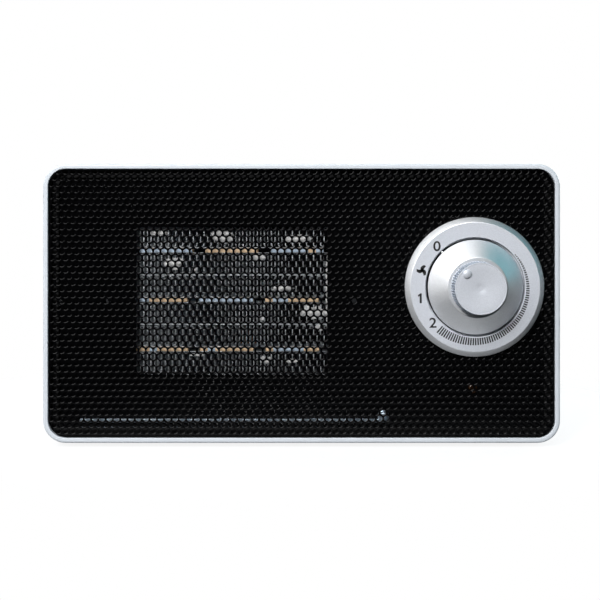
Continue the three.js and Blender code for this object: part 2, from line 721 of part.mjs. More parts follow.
const terminalSlots = rowZ.map((z) =>
  block(
    FIN_LENGTH / 2,
    terminalEnd,
    terminalFront - SEAT,
    terminalFront + TERMINAL_WIDTH + SEAT,
    z + terminalZ - TERMINAL_THICK / 2 - SEAT,
    z + terminalZ + TERMINAL_THICK / 2 + SEAT,
  ),
);
place(outlet, "element_cap_left", endCap(-1), BLACK_PBT);
place(outlet, "element_cap_right", cut(endCap(1), ...terminalSlots), BLACK_PBT);

// ---------------------------------------------------------------- duct and fan

// The duct: a box around the element that turns into the fan's round shroud.
function airDuct() {
  const width = 2 * ductHalf;
  const boxHeight = DUCT_INNER_HEIGHT + 2 * DUCT_WALL;
  const flange = slab(
    roundedRect(width + 2 * DUCT_FLANGE, boxHeight, DUCT_WALL), DUCT_FRONT, DUCT_FRONT + DUCT_WALL,
  );
  const tunnel = slab(roundedRect(width, boxHeight, DUCT_WALL), DUCT_FRONT, SHROUD_FRONT);
  const fanPlate = slab(
    roundedRect(width, Math.max(boxHeight, 2 * shroudOuter), DUCT_WALL),
    SHROUD_FRONT - DUCT_WALL,
    SHROUD_FRONT,
  );
  const shroud = bar(shroudOuter, SHROUD_FRONT - DUCT_WALL, SHROUD_BACK, 0, 0, 48);
  const ears = sides.map((side) =>
    bar(EAR_RADIUS, SHROUD_FRONT - DUCT_WALL, SHROUD_BACK, side * earX, 0, 16),
  );
  const hollow = slab(
    roundedRect(DUCT_INNER_WIDTH, DUCT_INNER_HEIGHT, 1), DUCT_FRONT - 1, SHROUD_FRONT - DUCT_WALL, 2,
  );
  const throat = bar(SHROUD_RADIUS, SHROUD_FRONT - 2 * DUCT_WALL, SHROUD_BACK + 1, 0, 0, 48);
  const holes = sides.flatMap((side) => [
    bar(SCREW_RADIUS + SEAT, SHROUD_BACK - SCREW_LENGTH, SHROUD_BACK + 1, side * earX, 0, 12),
    bar(SCREW_RADIUS + SEAT, DUCT_FRONT - 1, DUCT_FRONT + DUCT_WALL + 1, side * ductScrewX, 0, 12),
  ]);
  return cut(
    join(flange, tunnel, fanPlate, shroud, ...ears), hollow, throat, ...holes, ...terminalSlots,
  );
}

place(outlet, "air_duct", airDuct(), BLACK_PBT);

const hubBack = SHROUD_BACK - HUB_SETBACK;
const hubFront = hubBack - HUB_LENGTH;

// A bracket strip with a bearing boss round the shaft and a hole for each motor bolt.
function bearingStrip(halfLength, front, holesX, holeRadius) {
  const back = front + BRACKET_THICK;
  const strip = block(-halfLength, halfLength, front, back, -BRACKET_HEIGHT / 2, BRACKET_HEIGHT / 2);
  const bearing = bar(BEARING_RADIUS, front, front + BEARING_LENGTH, 0, 0, 20);
  const shaftHole = bar(SHAFT_RADIUS + RUNNING, front - 1, front + BEARING_LENGTH + 1, 0, 0, 16);
  const holes = holesX.map((x) => bar(holeRadius, front - 1, back + 1, x, 0, 12));
  return cut(join(strip, bearing), shaftHole, ...holes);
}

const boltX = [-BOLT_SPREAD, BOLT_SPREAD];
const boltHole = BOLT_RADIUS + SEAT;
const bracketHalf = earX + EAR_RADIUS;
place(
  outlet,
  "motor_bracket",
  bearingStrip(bracketHalf, BRACKET_FRONT, [-earX, earX, ...boltX], SCREW_RADIUS + SEAT),
  STEEL,
);
place(
  outlet,
  "rear_bearing_strip",
  bearingStrip(CORE_WIDTH / 2, REAR_STRIP_FRONT, boltX, boltHole),
  STEEL,
);

sides.forEach((side, i) => {
  const ductScrew = screw(DUCT_FRONT + DUCT_WALL + SEAT, DUCT_FRONT + DUCT_WALL - BAFFLE_FRONT);
  place(outlet, `duct_screw_${i + 1}`, ductScrew, STEEL).position.x = side * ductScrewX;
  const bracketScrew = place(outlet, `bracket_screw_${i + 1}`, screw(BRACKET_BACK + SEAT), STEEL);
  bracketScrew.position.x = side * earX;
  const headBack = REAR_STRIP_BACK + SEAT + BOLT_HEAD;
  const bolt = join(
    bar(BOLT_RADIUS, BRACKET_FRONT, headBack, 0, 0, 10),
    bar(BOLT_HEAD_RADIUS, headBack - BOLT_HEAD, headBack, 0, 0, 12),
    bar(BOLT_HEAD_RADIUS, BRACKET_BACK + SEAT, CORE_FRONT - SEAT, 0, 0, 12),
    bar(BOLT_HEAD_RADIUS, CORE_BACK + SEAT, REAR_STRIP_FRONT - SEAT, 0, 0, 12),
  );
  place(outlet, `motor_bolt_${i + 1}`, bolt, STEEL).position.x = side * BOLT_SPREAD;
});

// The laminated core of a shaded-pole motor, with the rotor's bore and two coil windows.
function motorCore() {
  const stack = block(-CORE_WIDTH / 2, CORE_WIDTH / 2, CORE_FRONT, CORE_BACK, -CORE_BELOW, CORE_ABOVE);
  const bore = bar(ROTOR_RADIUS + RUNNING, CORE_FRONT - 1, CORE_BACK + 1, 0, 0, 40);
  const slotBottom = -CORE_BELOW + CORE_YOKE;
  const windows = sides.map((side) => {
    const inner = (side * CORE_LEG) / 2;
    const outer = side * (CORE_LEG / 2 + CORE_SLOT_WIDTH);
    return block(
      Math.min(inner, outer),
      Math.max(inner, outer),
      CORE_FRONT - 1,
      CORE_BACK + 1,
      slotBottom,
      slotBottom + CORE_SLOT_HEIGHT,
    );
  });
  const boltHoles = boltX.map((x) => bar(boltHole, CORE_FRONT - 1, CORE_BACK + 1, x, 0, 12));
  return cut(stack, bore, ...windows, ...boltHoles);
}

// The field coil round the core's leg.
function motorCoil() {
  const slotBottom = -CORE_BELOW + CORE_YOKE;
  const outer = CORE_LEG / 2 + CORE_SLOT_WIDTH - SEAT;
  const winding = block(
    -outer,
    outer,
    CORE_FRONT - COIL_BULGE,
    CORE_BACK + COIL_BULGE,
    slotBottom + SEAT,
    slotBottom + CORE_SLOT_HEIGHT - SEAT,
  );
  const leg = block(
    -CORE_LEG / 2 - SEAT,
    CORE_LEG / 2 + SEAT,
    CORE_FRONT - SEAT,
    CORE_BACK + SEAT,
    slotBottom - 1,
    slotBottom + CORE_SLOT_HEIGHT + 1,
  );
  return cut(winding, leg);
}

place(outlet, "motor_core", motorCore(), LAMINATION);
place(outlet, "motor_coil", motorCoil(), COPPER_TAPE);

const shaftFront = hubFront - SHAFT_END;
const rotor = join(
  bar(SHAFT_RADIUS, shaftFront, SHAFT_BACK, 0, 0, 16),
  bar(ROTOR_RADIUS, CORE_FRONT, CORE_BACK, 0, 0, 40),
);
place(outlet, "motor_rotor", rotor, STEEL);

// The axial impeller: flat blades set at an angle on a round hub.
function impeller() {
  const tip = SHROUD_RADIUS - BLADE_TIP_GAP;
  const middle = (hubFront + hubBack) / 2;
  const blades = [];
  for (let i = 0; i < BLADE_COUNT; i += 1) {
    const blade = new THREE.BoxGeometry(
      tip - HUB_RADIUS + 2 * BLADE_ROOT, BLADE_CHORD, BLADE_THICK,
    );
    blade.rotateX(THREE.MathUtils.degToRad(90 - BLADE_TILT));
    blade.translate((tip + HUB_RADIUS) / 2, middle, 0);
    blade.rotateY((i * 2 * Math.PI) / BLADE_COUNT);
    blades.push(blade);
  }
  const envelope = bar(tip, hubFront, hubBack, 0, 0, 48);
  const hub = bar(HUB_RADIUS, hubFront, hubBack, 0, 0, 24);
  const swept = join(...blades).intersect(solid(envelope));
  const bore = bar(SHAFT_RADIUS + SEAT, hubFront - 1, hubBack + 1, 0, 0, 16);
  return cut(join(hub, swept), bore);
}

place(outlet, "fan_impeller", impeller(), BLACK_PBT);

// The over-temperature cut-out, on top of the duct behind the element.
const cutoutBase = DUCT_INNER_HEIGHT / 2 + DUCT_WALL + SEAT;
const cutoutTop = cutoutBase + CUTOUT_HEIGHT;
const cutoutY = SHROUD_FRONT - DUCT_WALL - SEAT - CUTOUT_RADIUS - CUTOUT_MARGIN;
const cutoutReach = CUTOUT_RADIUS + CUTOUT_TAB_REACH;
const tabHalf = CUTOUT_TAB_WIDTH / 2;
const cutout = join(
  post(CUTOUT_RADIUS, cutoutBase, cutoutTop, 0, 0, 28),
  block(-cutoutReach, cutoutReach, -tabHalf, tabHalf, cutoutTop - CUTOUT_TAB_THICK, cutoutTop),
);
place(outlet, "thermal_cutout", cutout, NYLON).position.y = cutoutY;

// ---------------------------------------------------------------- dial and controls

// The bezel: a bevelled ring with a spigot that passes through the grille.
function dialBezel() {
  return turned(
    [
      [BEZEL_BORE, -BEZEL_HEIGHT],
      [BEZEL_BORE, DIAL_BAFFLE_BACK - BAFFLE_THICK - SEAT],
      [BEZEL_BORE + BEZEL_SPIGOT_WALL, DIAL_BAFFLE_BACK - BAFFLE_THICK - SEAT],
      [BEZEL_BORE + BEZEL_SPIGOT_WALL, -SEAT],
      [BEZEL_RADIUS, -SEAT],
      [BEZEL_RADIUS, -BEZEL_EDGE],
      [BEZEL_FACE_RADIUS, -BEZEL_HEIGHT],
      [BEZEL_BORE, -BEZEL_HEIGHT],
    ],
    48,
  );
}

// The selector ring: a hollow cone with a hub on the switch sleeve and a pointer on its rim.
function selectorRing() {
  const inside = SELECTOR_RADIUS - SELECTOR_WALL;
  const topInside = SELECTOR_FRONT + SELECTOR_WALL;
  const hubOuter = SLEEVE_RADIUS + SEAT + HUB_WALL;
  const cone = turned(
    [
      [SLEEVE_RADIUS + SEAT, SELECTOR_FRONT],
      [SLEEVE_RADIUS + SEAT, SELECTOR_BACK],
      [hubOuter, SELECTOR_BACK],
      [hubOuter, topInside],
      [SELECTOR_TOP_RADIUS - SELECTOR_WALL, topInside],
      [inside, SELECTOR_BACK - SELECTOR_SKIRT],
      [inside, SELECTOR_BACK],
      [SELECTOR_RADIUS, SELECTOR_BACK],
      [SELECTOR_RADIUS, SELECTOR_BACK - SELECTOR_SKIRT],
      [SELECTOR_TOP_RADIUS, SELECTOR_FRONT],
      [SLEEVE_RADIUS + SEAT, SELECTOR_FRONT],
    ],
    48,
  );
  const pointer = block(
    SELECTOR_RADIUS - SELECTOR_WALL / 2,
    SELECTOR_RADIUS + POINTER_REACH,
    SELECTOR_BACK - SELECTOR_SKIRT,
    SELECTOR_BACK,
    -POINTER_WIDTH / 2,
    POINTER_WIDTH / 2,
  ).rotateY(THREE.MathUtils.degToRad(-REST_ANGLE));
  return join(cone, pointer);
}

// The thermostat knob: a slightly tapered grip with a dished face and a raised dot.
function thermostatKnob() {
  const stemOuter = SPINDLE_RADIUS + SEAT + HUB_WALL;
  const cavity = KNOB_FACE_RADIUS - KNOB_WALL;
  const socketEnd = KNOB_FRONT + KNOB_HEIGHT / 2;
  const grip = turned(
    [
      [0, KNOB_FRONT + KNOB_DISH],
      [KNOB_FACE_RADIUS * 0.6, KNOB_FRONT + KNOB_DISH / 3],
      [KNOB_FACE_RADIUS - 1.2, KNOB_FRONT],
      [KNOB_FACE_RADIUS - 0.5, KNOB_FRONT],
      [KNOB_FACE_RADIUS, KNOB_FRONT + 0.5],
      [KNOB_BASE_RADIUS, KNOB_BACK],
      [cavity, KNOB_BACK],
      [cavity, socketEnd],
      [stemOuter, socketEnd],
      [stemOuter, KNOB_BACK],
      [SPINDLE_RADIUS + SEAT, KNOB_BACK],
      [SPINDLE_RADIUS + SEAT, socketEnd],
      [0, socketEnd],
    ],
    40,
  );
  const angle = THREE.MathUtils.degToRad(REST_ANGLE);
  const dot = bar(
    DOT_RADIUS,
    KNOB_FRONT - DOT_HEIGHT,
    KNOB_FRONT + 2,
    DOT_OFFSET * Math.cos(angle),
    DOT_OFFSET * Math.sin(angle),
    20,
  );
  return join(grip, dot);
}

const sleeveFront = SELECTOR_FRONT + SELECTOR_WALL / 2;
const sleeveBack = SWITCH_BACK - RUNNING;
const spindleFront = KNOB_FRONT + KNOB_HEIGHT / 2 + SEAT;
const spindleBack = THERMOSTAT_FRONT + THERMOSTAT_DEPTH / 2;
const sleeveBore = SPINDLE_RADIUS + RUNNING;

place(dial, "dial_bezel", dialBezel(), SILVER_PAINT);
place(dial, "selector_ring", selectorRing(), SILVER_PAINT);
place(dial, "thermostat_knob", thermostatKnob(), SILVER_PAINT);
place(dial, "switch_sleeve", ring(SLEEVE_RADIUS, sleeveBore, sleeveFront, sleeveBack, 24), NYLON);
place(dial, "thermostat_spindle", bar(SPINDLE_RADIUS, spindleFront, spindleBack, 0, 0, 16), STEEL);
place(
  dial,
  "rotary_switch",
  ring(SWITCH_RADIUS, SLEEVE_RADIUS + RUNNING, SWITCH_FRONT, SWITCH_BACK, 32),
  NYLON,
);

function thermostatBody() {
  const halfWidth = THERMOSTAT_WIDTH / 2;
  const halfHeight = THERMOSTAT_HEIGHT / 2;
  const back = THERMOSTAT_FRONT + THERMOSTAT_DEPTH;
  const box = block(-halfWidth, halfWidth, THERMOSTAT_FRONT, back, -halfHeight, halfHeight);
  const bore = bar(SPINDLE_RADIUS + RUNNING, THERMOSTAT_FRONT - 1, spindleBack + RUNNING);
  return cut(box, bore);
}

place(dial, "thermostat", thermostatBody(), COPPER_TAPE);

// ---------------------------------------------------------------- tip-over switch

const tip = new THREE.Group();
tip.position.set(TIP_X, TIP_Y, 0);
heater.add(tip);

const tipBottom = FLOOR_TOP + SEAT;
const tipTop = tipBottom + TIP_CASE_HEIGHT;
const tipCavityBottom = tipBottom + TIP_CASE_WALL;
const tipCavityTop = tipTop - TIP_CASE_WALL;
const collarBottom = tipCavityBottom + PLUNGER_TRAVEL + RUNNING;
const collarTop = collarBottom + PLUNGER_COLLAR;

// The switch case, open at the back, with the hole its plunger drops through.
function tipCase() {
  const half = TIP_CASE_WIDTH / 2;
  const inner = half - TIP_CASE_WALL;
  const box = block(-half, half, -half, half, tipBottom, tipTop);
  const cavity = block(-inner, inner, -inner, half + 1, tipCavityBottom, tipCavityTop);
  const hole = post(PLUNGER_RADIUS + RUNNING, tipBottom - 1, tipCavityBottom + 1);
  return cut(box, cavity, hole);
}

const plunger = join(
  post(PLUNGER_RADIUS, UNDERSIDE - FOOT_LIFT, collarTop),
  post(PLUNGER_COLLAR_RADIUS, collarBottom, collarTop),
);

// The plunger's return spring: an open helix between the collar and the top of the case.
class Helix extends THREE.Curve {
  getPoint(t, target = new THREE.Vector3()) {
    const angle = t * SPRING_TURNS * 2 * Math.PI;
    const bottom = collarTop + SEAT + SPRING_WIRE / 2;
    const top = tipCavityTop - SEAT - SPRING_WIRE / 2;
    const radius = PLUNGER_RADIUS;
    return target.set(
      radius * Math.cos(angle), radius * Math.sin(angle), bottom + t * (top - bottom),
    );
  }
}

function roundTube(curve, radius, steps, sides) {
  const section = polygon(sides, radius);
  return new THREE.ExtrudeGeometry(section, { steps, extrudePath: curve, bevelEnabled: false });
}

place(tip, "tip_switch_case", tipCase(), NYLON);
place(tip, "tip_switch_plunger", plunger, BLACK_PBT);
place(
  tip, "tip_switch_spring", roundTube(new Helix(), SPRING_WIRE / 2, SPRING_TURNS * 10, 4), STEEL,
);

// ---------------------------------------------------------------- mains connections

const blockTop = FLOOR_TOP + SEAT + BLOCK_HEIGHT;
const blockFront = COVER_FRONT - BOSS_LENGTH - BLOCK_DEPTH;
const blockMiddle = blockFront + BLOCK_DEPTH / 2;
const ways = [-1, 0, 1].map((i) => INLET_X + (i * BLOCK_WIDTH) / 3);
const wayFloor = blockTop - BLOCK_HEIGHT / 2;

// The three-way terminal block, with a round well over each way.
function terminalBlock() {
  const half = BLOCK_WIDTH / 2;
  const body = block(
    INLET_X - half,
    INLET_X + half,
    blockFront,
    blockFront + BLOCK_DEPTH,
    FLOOR_TOP + SEAT,
    blockTop,
  );
  const wells = ways.map((x) =>
    post(LEAD_RADIUS + 2 * SEAT, wayFloor, blockTop + 1, x, blockMiddle, 12),
  );
  return cut(body, ...wells);
}

place(heater, "terminal_block", terminalBlock(), NYLON);

// An insulated lead from one end to the other: it leaves each end straight, along that
// end's own direction, and curves smoothly in between.
function lead(start, startDirection, end, endDirection, rise) {
  const first = new THREE.Vector3(...start);
  const last = new THREE.Vector3(...end);
  const straight = Math.min(LEAD_STRAIGHT, first.distanceTo(last) / 3);
  const along = (from, direction, share) =>
    from.clone().addScaledVector(new THREE.Vector3(...direction), share * straight);
  const bendStart = along(first, startDirection, 1);
  const bendEnd = along(last, endDirection, 1);
  const middle = bendStart.clone().lerp(bendEnd, 0.5);
  middle.z += rise;
  const curve = new THREE.CatmullRomCurve3([
    first,
    along(first, startDirection, 0.7),
    bendStart,
    middle,
    bendEnd,
    along(last, endDirection, 0.7),
    last,
  ]);
  return roundTube(curve, LEAD_RADIUS, 20, 6);
}

const up = [0, 0, 1];
const right = [1, 0, 0];
const left = [-1, 0, 0];
const wellStart = wayFloor + SEAT;
const switchMiddle = GRILLE_RECESS + (SWITCH_FRONT + SWITCH_BACK) / 2;
const switchSide = [DIAL_X - SWITCH_RADIUS - 2 * SEAT, switchMiddle, DIAL_RISE];
const tab = (row) => [
  OUTLET_X + terminalEnd + 2 * SEAT,
  terminalFront + TERMINAL_WIDTH / 2,
  OUTLET_RISE + rowZ[row] + terminalZ,
];
const live = lead(
  [ways[0], blockMiddle, wellStart], up, [TIP_X, TIP_Y, tipTop + SEAT], up, LEAD_RISE,
);
const neutral = lead([ways[1], blockMiddle, wellStart], up, tab(1), right, 0);
place(heater, "lead_live", live, PVC_BLACK);
place(heater, "lead_neutral", neutral, PVC_BLUE);
place(heater, "lead_heat", lead(switchSide, left, tab(0), right, LEAD_RISE), PVC_RED);

// The rubber bushing that lines the cord inlet, gripping the rear cover between two lips.
function cordBushing() {
  const neck = INLET_BORE + INLET_WALL;
  return turned(
    [
      [INLET_BORE, COVER_FRONT - SEAT - INLET_LIP],
      [neck + INLET_LIP, COVER_FRONT - SEAT - INLET_LIP],
      [neck + INLET_LIP, COVER_FRONT - SEAT],
      [neck, COVER_FRONT - SEAT],
      [neck, COVER_BACK + SEAT],
      [neck + INLET_LIP, COVER_BACK + SEAT],
      [neck + INLET_LIP / 2, COVER_BACK + SEAT + INLET_LIP_THICK],
      [INLET_BORE, COVER_BACK + SEAT + INLET_LIP_THICK],
      [INLET_BORE, COVER_FRONT - SEAT - INLET_LIP],
    ],
    20,
  );
}

place(heater, "cord_bushing", cordBushing(), RUBBER).position.set(INLET_X, 0, INLET_Z);

export default heater;
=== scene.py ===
"""Ceramic fan heater: the visible surfaces of the casing, the perforated front, the heating
element, the dial and the small parts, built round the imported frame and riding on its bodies.

Shapes are worked out in millimetres in the frame's own axes (X to the right, Y to the rear,
Z up) and turned to metres when a piece is linked. "Depth" is measured from the front rim.
"""

import math
import random
import re

import bmesh
import bpy
from bpy.props import FloatProperty, FloatVectorProperty, IntProperty, PointerProperty
from mathutils import Matrix, Vector, noise
from mathutils.geometry import tessellate_polygon


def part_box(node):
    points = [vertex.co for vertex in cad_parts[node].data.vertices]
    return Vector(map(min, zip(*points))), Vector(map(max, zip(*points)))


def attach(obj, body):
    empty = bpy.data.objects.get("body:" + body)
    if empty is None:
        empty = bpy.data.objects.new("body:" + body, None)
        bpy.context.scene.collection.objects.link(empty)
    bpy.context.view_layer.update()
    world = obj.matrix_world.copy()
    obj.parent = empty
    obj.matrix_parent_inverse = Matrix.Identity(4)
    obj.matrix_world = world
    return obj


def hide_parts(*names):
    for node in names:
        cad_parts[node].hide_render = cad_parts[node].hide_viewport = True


bl_info = {
    "name": "Ceramic fan heater",
    "version": (1, 0, 0),
    "blender": (4, 5, 0),
    "location": "3D View > Sidebar > Heater",
    "description": "Builds the visible pieces of a desktop ceramic fan heater",
    "category": "Object",
}

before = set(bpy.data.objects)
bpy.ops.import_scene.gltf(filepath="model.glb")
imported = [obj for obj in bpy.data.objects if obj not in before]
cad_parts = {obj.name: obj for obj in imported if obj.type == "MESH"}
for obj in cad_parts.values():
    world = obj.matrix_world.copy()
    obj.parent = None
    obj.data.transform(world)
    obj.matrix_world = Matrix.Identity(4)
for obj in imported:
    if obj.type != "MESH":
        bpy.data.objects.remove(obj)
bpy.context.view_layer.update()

MM = 0.001


def corners_of(node):
    """The lowest and highest corners of a frame node, in millimetres."""
    low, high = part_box(node)
    return low / MM, high / MM


def centre_of(node):
    low, high = corners_of(node)
    return (low + high) / 2


FRAME_LOW, FRAME_HIGH = corners_of("front_frame")
HOUSING_LOW, HOUSING_HIGH = corners_of("main_housing")
COVER_LOW, COVER_HIGH = corners_of("rear_cover")
GRILLE_LOW, GRILLE_HIGH = corners_of("front_grille")
FRONT = FRAME_LOW.y
BODY_WIDTH = FRAME_HIGH.x - FRAME_LOW.x
BODY_HEIGHT = FRAME_HIGH.z - FRAME_LOW.z
BODY_CENTRE = (FRAME_LOW + FRAME_HIGH) / 2
BODY_CORNER = 11.6  # radius of the casing's corners, seen from the front
DIAL = centre_of("dial_bezel")
FEET = [f"foot_{row}_{side}" for row in ("front", "rear") for side in ("left", "right")]
COVER_SCREWS = [f"cover_screw_{i}" for i in range(1, 5)]

# ---------------------------------------------------------------- settings


def linear(hex_colour):
    """An sRGB hex colour as the linear red, green and blue that the shaders work in."""
    levels = [int(hex_colour[i : i + 2], 16) / 255 for i in (1, 3, 5)]
    return [
        level / 12.92 if level <= 0.04045 else ((level + 0.055) / 1.055) ** 2.4
        for level in levels
    ]


def colour_property(name, description, hex_colour):
    return FloatVectorProperty(
        name=name, description=description, subtype="COLOR", size=3, min=0, max=1,
        default=linear(hex_colour),
    )


def length_property(name, description, millimetres):
    return FloatProperty(
        name=name, description=description, subtype="DISTANCE", unit="LENGTH", min=0,
        default=millimetres * MM,
    )


def power_property(name, description, watts):
    return FloatProperty(name=name, description=description, unit="POWER", default=watts)


class CasingSettings(bpy.types.PropertyGroup):
    white: colour_property("Shell", "Colour of the moulded shells", "#D9DFE6")
    rim_radius: length_property("Rim edge", "Radius of the rim's outer edge", 1.5)
    parting_radius: length_property("Parting edge", "Radius along the parting line", 0.35)
    rear_radius: length_property("Rear edge", "Radius of the housing's rear edge", 1.1)


class GrilleSettings(bpy.types.PropertyGroup):
    black: colour_property("Coating", "Colour of the powder coating", "#030304")
    hole: length_property("Hole", "Diameter of the round holes", 2.95)
    pitch: length_property("Pitch", "Spacing of the holes along a row", 3.745)
    row: length_property("Row", "Spacing of the rows of holes", 3.17)
    lead_in: length_property("Lead-in", "Width of the rolled edge round a hole", 0.2)
    edge_roll: length_property("Edge roll", "Depth of the rolled edge of a hole", 0.11)


class ElementSettings(bpy.types.PropertyGroup):
    legs: IntProperty(name="Fin legs", description="Legs in a fin strip", min=8, default=57)
    foil: length_property("Foil", "Thickness of the fin strip", 0.4)
    tan: colour_property("Tan", "Colour of a bare ceramic face", "#F2D0A6")
    blue: colour_property("Blue", "Colour of a metallised ceramic face", "#C6D7E9")


class DialSettings(bpy.types.PropertyGroup):
    silver: colour_property("Silver", "Colour of the silver paint", "#D6DAE2")
    polished: colour_property("Polished", "Colour of the polished cone", "#F0F2F5")
    ink: colour_property("Ink", "Colour of the printed scale", "#141517")
    ribs: IntProperty(name="Ribs", description="Ribs round the knob", min=12, default=62)
    ticks: IntProperty(
        name="Ticks", description="Ticks of the thermostat scale", min=8, default=68
    )
    figure: length_property("Figure", "Height of the printed figures", 5.0)


class StageSettings(bpy.types.PropertyGroup):
    key: power_property("Key light", "Power of the key light", 17)
    fill: power_property("Fill light", "Power of the light in front", 18)
    left: power_property("Left light", "Power of the light over the left", 3.5)
    side: power_property("Side light", "Power of the light at the right", 6)
    right: power_property("Right light", "Power of the light behind on the right", 6.5)
    rear: power_property("Rear light", "Power of the light behind", 5)
    surround: FloatProperty(
        name="Surround", description="Strength of the dim studio round the object", default=0.2
    )
    distance: length_property("Distance", "From the lens to the front rim", 640)
    rise: length_property("Rise", "Of the lens above the casing's middle", 34)
    field: length_property("Field", "Width that the picture covers at the rim", 307.1)


class HeaterSettings(bpy.types.PropertyGroup):
    casing: PointerProperty(type=CasingSettings)
    grille: PointerProperty(type=GrilleSettings)
    element: PointerProperty(type=ElementSettings)
    dial: PointerProperty(type=DialSettings)
    stage: PointerProperty(type=StageSettings)


# ---------------------------------------------------------------- materials

# The kinds of pattern: their texture node, its settings, and inputs other than size and detail.
PATTERNS = {
    "cloud": ("ShaderNodeTexNoise", {}, {}),
    "swirl": ("ShaderNodeTexNoise", {}, {"Distortion": 1.5}),
    "line": ("ShaderNodeTexNoise", {}, {}),
    "flake": ("ShaderNodeTexVoronoi", {}, {}),
    "pore": ("ShaderNodeTexVoronoi", {}, {}),
    "sheet": ("ShaderNodeTexWave", {"bands_direction": "Y"}, {"Distortion": 0.4}),
    "turn": (
        "ShaderNodeTexWave", {"bands_direction": "Z", "wave_profile": "SAW"},
        {"Distortion": 0.6},
    ),
}
LINE_STRETCH = (1, 0.05, 1)

